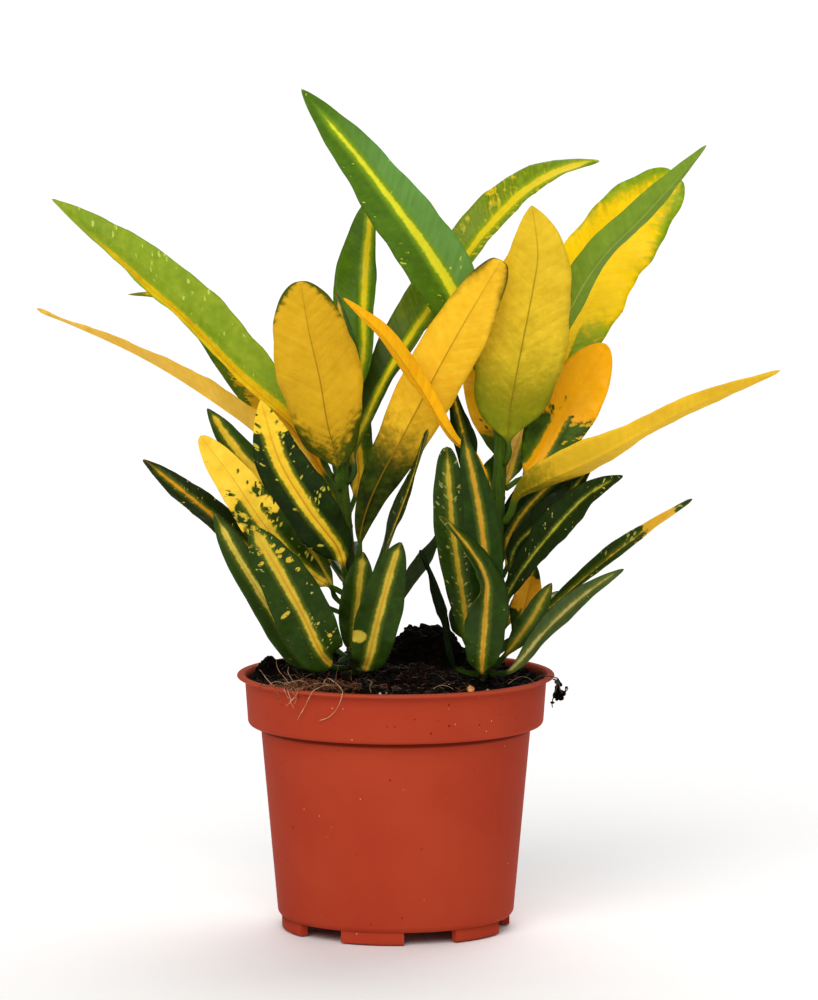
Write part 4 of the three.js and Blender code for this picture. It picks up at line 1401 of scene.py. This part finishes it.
# %% Patches of the bed
def bed_part(name, keep):
    """The bed's faces whose middle is wanted, with only the points they use."""
    faces = [f for f in top_faces if keep(*np.mean([bed_points[i] for i in f], axis=0)[:2])]
    used = sorted({i for f in faces for i in f})
    new = {old: i for i, old in enumerate(used)}
    mesh = bpy.data.meshes.new(name)
    mesh.from_pydata([tuple(c * MM for c in bed_points[i]) for i in used], [],
                     [tuple(new[i] for i in f) for f in faces])
    return mesh


def near(x, y, reach_x, reach_y):
    return lambda a, b: ((a - x) / reach_x) ** 2 + ((b - y) / reach_y) ** 2 < 1


def add_soil_piece(piece):
    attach(piece, "root")
    print(piece.name, "has", len(piece.data.polygons), "faces")


all_over = bed_part("bed_top", lambda x, y: math.hypot(x, y) < 53.6)
heap = bed_part("bed_heap", near(13, 25, 15, 12))
front_left = bed_part("bed_left", near(-33, -37, 19, 11))
front_middle = bed_part("bed_middle", near(6, -30, 24, 20))
mound = bed_part("bed_mound", near(6, -19, 14, 13))
print("faces of the heap's patch:", len(heap.polygons), "and of the mound's:", len(mound.polygons))

# %% Crumbs and fibres over the bed
for name, tree, material, patch, values in (
        ("soil_crumbs", crumb_tree, soil_black, all_over, {}),
        ("heap_crumbs", crumb_tree, soil_black, heap, {
            "Per Square Metre": 9.0e5, "Largest": 2.4 * MM, "Uneven": 2.6 * MM, "Seed": 8}),
        ("coir_all_over", fibre_tree, root_dark, all_over, {}),
        ("coir_front_left", fibre_tree, fibre_brown, front_left, {
            "Per Square Metre": 2.8e5, "Length": 8 * MM, "Thickness": 0.1 * MM,
            "Lift": 1.3 * MM, "Seed": 11}),
        ("coir_front_middle", fibre_tree, fibre_brown, front_middle, {
            "Per Square Metre": 6.0e4, "Length": 4 * MM, "Seed": 21}),
        ("perlite_dust", crumb_tree, perlite_white, all_over, {
            "Per Square Metre": 4.5e3, "Smallest": 0.15 * MM, "Largest": 0.5 * MM,
            "Uneven": 0.2 * MM, "Seed": 4}),
        ("bark_crumbs", crumb_tree, soil_brown, all_over, {
            "Per Square Metre": 5.0e4, "Smallest": 0.3 * MM, "Largest": 1.3 * MM, "Seed": 14}),
        ("mound_crumbs", crumb_tree, soil_brown, mound, {
            "Per Square Metre": 5.0e5, "Smallest": 0.3 * MM, "Largest": 1.7 * MM,
            "Uneven": 1.5 * MM, "Seed": 33})):
    add_soil_piece(grow(name, tree(material), patch, values))

# %% [markdown]
# ### Grains
# A few white perlite grains lie on the soil, and one orange grain of feed lies on the pot's rim.
# There are too few of them to scatter, so each is placed one by one, as a ball that is squashed
# and dented by noise with a fixed seed.

# %% Grains
def grains(name, places, material, seed):
    """Uneven little balls, each (x, y, z, radius) in mm, as one piece."""
    rng = np.random.default_rng(seed)
    ball = bmesh.new()
    for x, y, z, radius in places:
        made = bmesh.ops.create_icosphere(ball, subdivisions=3, radius=radius * MM)["verts"]
        squash = rng.uniform(0.75, 1.15, 3)
        shift = Vector(rng.uniform(-50, 50, 3))
        for v in made:
            bump = 1 + 0.35 * noise.noise(v.co * 900 / radius + shift)
            v.co = Vector(c * s for c, s in zip(v.co, squash)) * bump
            v.co += Vector((x, y, z)) * MM
    mesh = bpy.data.meshes.new(name)
    ball.to_mesh(mesh)
    ball.free()
    mesh.shade_smooth()
    mesh.materials.append(material)
    add_soil_piece(add_object(name, mesh))


grains("perlite_grains", [(x, y, bed_height(x, y) + 0.5 * r, r) for x, y, r in [
    (34.4, -38, 1.0), (35.6, -39.5, 0.7), (-5.6, -49, 0.8), (-7.4, -50.5, 0.5), (11, -44, 0.4),
    (-17, -47, 0.4), (20, -30, 0.4), (-41, -20, 0.5)]], perlite_white, 3)
grains("feed_grain", [(27.7, -51.0, 97.5, 1.25)], feed_orange, 4)

# %% [markdown]
# ### Roots
# Fine roots lie along the front rim in a tangle, some spill over it, and two long ones hang down
# outside. A dark tuft with crumbs clings to the rim at the right. The long ones are drawn as
# points in mm, and the tangle is short random walks. A Geometry Nodes tree smooths the lines,
# bends them a little by noise and gives them a round section that thins towards the end.

# %% Root tree
def strand_tree(material):
    tree = Tree("smooth_strands", {"Thickness": 0.16 * MM, "Wiggle": 0.0, "Step": 0.6 * MM,
                                   "Thin End": 0.45})
    lines = tree.node("MeshToCurve", {"Mesh": tree.input("Geometry")})
    smooth = tree.node("CurveSplineType", {"Curve": lines}, spline_type="CATMULL_ROM")
    even = tree.node("ResampleCurve", {"Curve": smooth, "Length": tree.input("Step")},
                     mode="LENGTH")
    bends = tree.vector_math("SCALE", {0: tree.drift(330.0), "Scale": tree.input("Wiggle")})
    section = tree.node("CurvePrimitiveCircle", {"Resolution": 7,
                                                 "Radius": tree.input("Thickness")})
    along = tree.node("SplineParameter", {}, "Factor")
    thin = tree.node("ShaderNodeMapRange", {"Value": along, "To Min": 1.0,
                                            "To Max": tree.input("Thin End")})
    tube = tree.node("CurveToMesh", {
        "Curve": tree.moved(even, bends), "Profile Curve": section, "Scale": thin,
        "Fill Caps": True})
    return tree.finish(tube, material)


print("strand tree is ready")


# %% Lines of the roots
def knotted(x, y, z, spread, count, length, rng):
    """Short lines that start near one place and wander."""
    lines = []
    for _ in range(count):
        spot = np.array([x, y, z]) + rng.normal(0, 1, 3) * np.array(spread)
        heading = rng.normal(0, 1, 3) * (1, 0.7, 0.5)
        line = [tuple(spot)]
        for _ in range(rng.integers(3, 6)):
            heading = 0.6 * heading + rng.normal(0, 1, 3) * (0.9, 0.6, 0.6)
            spot = spot + heading / np.linalg.norm(heading) * length * rng.uniform(0.6, 1.2)
            line.append(tuple(spot))
        lines.append(line)
    return lines


HANGING_ROOTS = (
    ((-22, -41, 96), (-25, -45, 98.2), (-28.6, -49.6, 97.6), (-30.6, -52.2, 96.7),
     (-31.6, -52.2, 95.3), (-32.6, -49.6, 92.6), (-34, -47.4, 89.6), (-36.4, -44.5, 85.2)),
    ((-27.5, -41, 95), (-26.4, -42.4, 99), (-25, -43.5, 100.4), (-23, -45.5, 99.6),
     (-20.6, -50.4, 98.2), (-19.6, -55.2, 97.5), (-19.7, -57.9, 96), (-20.4, -56.4, 93.6),
     (-21.9, -54.2, 90.2), (-24.4, -52, 87.3), (-28, -49.8, 85.6)))
SPILLING_ROOTS = (
    ((-37, -43.5, 97), (-38.4, -46.5, 97.2), (-38, -47.6, 95.8), (-37, -46.2, 93.4),
     (-37.6, -45.2, 91.2)),
    ((-38.6, -42, 97), (-40, -45.2, 97), (-39.8, -46.2, 95.4), (-38.8, -45, 92.6),
     (-40.2, -43, 90)),
    ((-36, -44, 97), (-37.2, -47.6, 97), (-37, -48.4, 95), (-38.6, -46, 92),
     (-37.6, -46.2, 89.4)),
    ((-40.5, -41, 97), (-41, -44, 97.2), (-41, -45, 95.6), (-39.6, -44.8, 93)),
    ((-34, -45, 97.2), (-36.2, -48.4, 97), (-36.6, -48.8, 95.4), (-38, -46.6, 93.4),
     (-39.4, -45, 91.8)))
WHISKERS = (
    ((-38.5, -40, 96.5), (-40.6, -40.6, 99.6), (-43.4, -41, 103.4), (-44.2, -41, 106.6)),
    ((-45, -37, 96.5), (-47.4, -37.6, 99), (-50.6, -38, 103)),
    ((-36, -42, 97), (-38, -42.5, 99.4), (-39.8, -42.8, 102.6), (-39.6, -43, 104.8)),
    ((-47, -34, 96.6), (-44.6, -38, 98.4), (-41.6, -41, 98.2), (-38.6, -43, 97)),
    ((-31, -43, 97), (-33.6, -44, 99.2), (-36.6, -44.6, 99.8), (-40, -43.6, 98.6)),
    ((-24, -43, 97), (-26, -45, 98.8), (-29.6, -46.4, 98.8), (-33.4, -46.6, 97.4)),
    ((-20, -46, 96.5), (-21.6, -48, 98.4), (-25.6, -49, 98.6), (-29.2, -48.6, 97.4)),
    ((42, -30, 96.5), (46, -30, 99), (49, -29.6, 98.8), (52, -28, 96.6)),
    ((14, -40, 96), (16.4, -41.4, 97.4), (19.4, -41.6, 97.2), (21.6, -41, 96)),
    ((-9, -47, 95.6), (-9.6, -48, 98), (-8.6, -48.6, 99.6), (-10.4, -49, 101)))
DARK_ROOTS = (
    ((50, -17, 94.6), (54, -17.4, 97.4), (58, -17, 97.4), (60.8, -15.6, 96.4), (61, -14.8, 94),
     (60.6, -14.4, 91.6), (61.6, -14, 89.8)),
    ((59, -19, 96.6), (61, -17.6, 95.4), (61.6, -16, 92.4), (62.8, -14.6, 90.4),
     (63.6, -14, 91.4), (64, -13.6, 93.2), (64.6, -13.4, 92.4), (63.4, -13.8, 90.4)),
    ((59.4, -18, 96.6), (60.4, -18.2, 95), (59.6, -18, 91.4), (58.6, -18, 87.6),
     (58.8, -18.2, 85.8)))
CLINGING_CRUMBS = (
    (60.6, -16, 95.2, 1.1), (61.6, -15.4, 94.2, 0.9), (60.7, -14.8, 92.8, 1.3),
    (61.7, -14.4, 91, 1.2), (60.6, -14.3, 90.2, 1.4), (62, -14, 89, 1.2),
    (62.9, -14.6, 90.6, 0.9), (59.4, -18, 90.2, 0.9), (58.8, -18.1, 87.6, 0.7),
    (60.1, -16.6, 91.6, 0.9), (63.9, -13.6, 92.6, 0.5), (60.5, -15.6, 88.9, 0.9))
walk = np.random.default_rng(12)
rim_tangle = knotted(-34, -45, 97.4, (6, 1.6, 0.8), 44, 2.2, walk)
rim_tangle += knotted(-26, -47.5, 97.4, (5, 1.5, 0.6), 26, 2.2, walk)
print("short lines in the tangle:", len(rim_tangle))

# %% Roots
for name, material, lines, values in (
        ("hanging_roots", root_tan, HANGING_ROOTS, {
            "Thickness": 0.2 * MM, "Thin End": 0.6, "Wiggle": 0.5 * MM}),
        ("rim_tangle", fibre_brown, rim_tangle, {"Thickness": 0.14 * MM, "Wiggle": 0.8 * MM}),
        ("spilling_roots", root_tan, SPILLING_ROOTS, {
            "Thickness": 0.15 * MM, "Wiggle": 1.6 * MM}),
        ("whiskers", root_tan, WHISKERS, {"Thickness": 0.11 * MM, "Wiggle": 0.7 * MM}),
        ("dark_roots", root_dark, DARK_ROOTS, {
            "Thickness": 0.3 * MM, "Thin End": 0.7, "Wiggle": 0.6 * MM})):
    add_soil_piece(grow(name, strand_tree(material), line_mesh(name + "_lines", lines), values))
grains("clinging_crumbs", CLINGING_CRUMBS, soil_black, 6)

# %% [markdown]
# ## Floor
# The background of the picture is plain white. A wide sheet of matt white does the same, lit
# by the same lamps, and lets the pot throw a soft shadow. It lies half a millimetre below the
# feet and isn't attached to the plant.

# %% Floor
FLOOR_HALF = 30                 # metres, far beyond the picture's edges
FLOOR_LEVEL = -0.5 * MM
corners = [(x * FLOOR_HALF, y * FLOOR_HALF, FLOOR_LEVEL)
           for x, y in ((-1, -1), (1, -1), (1, 1), (-1, 1))]
floor_mesh = bpy.data.meshes.new("floor")
floor_mesh.from_pydata(corners, [], [(0, 1, 2, 3)])
floor_mesh.materials.append(Paint("pale_floor").surface({"Base Color": linear("#ffffff"),
                                                         "Roughness": 0.8}))
floor = add_object("floor", floor_mesh)
print("floor in metres:", 2 * FLOOR_HALF, "square")
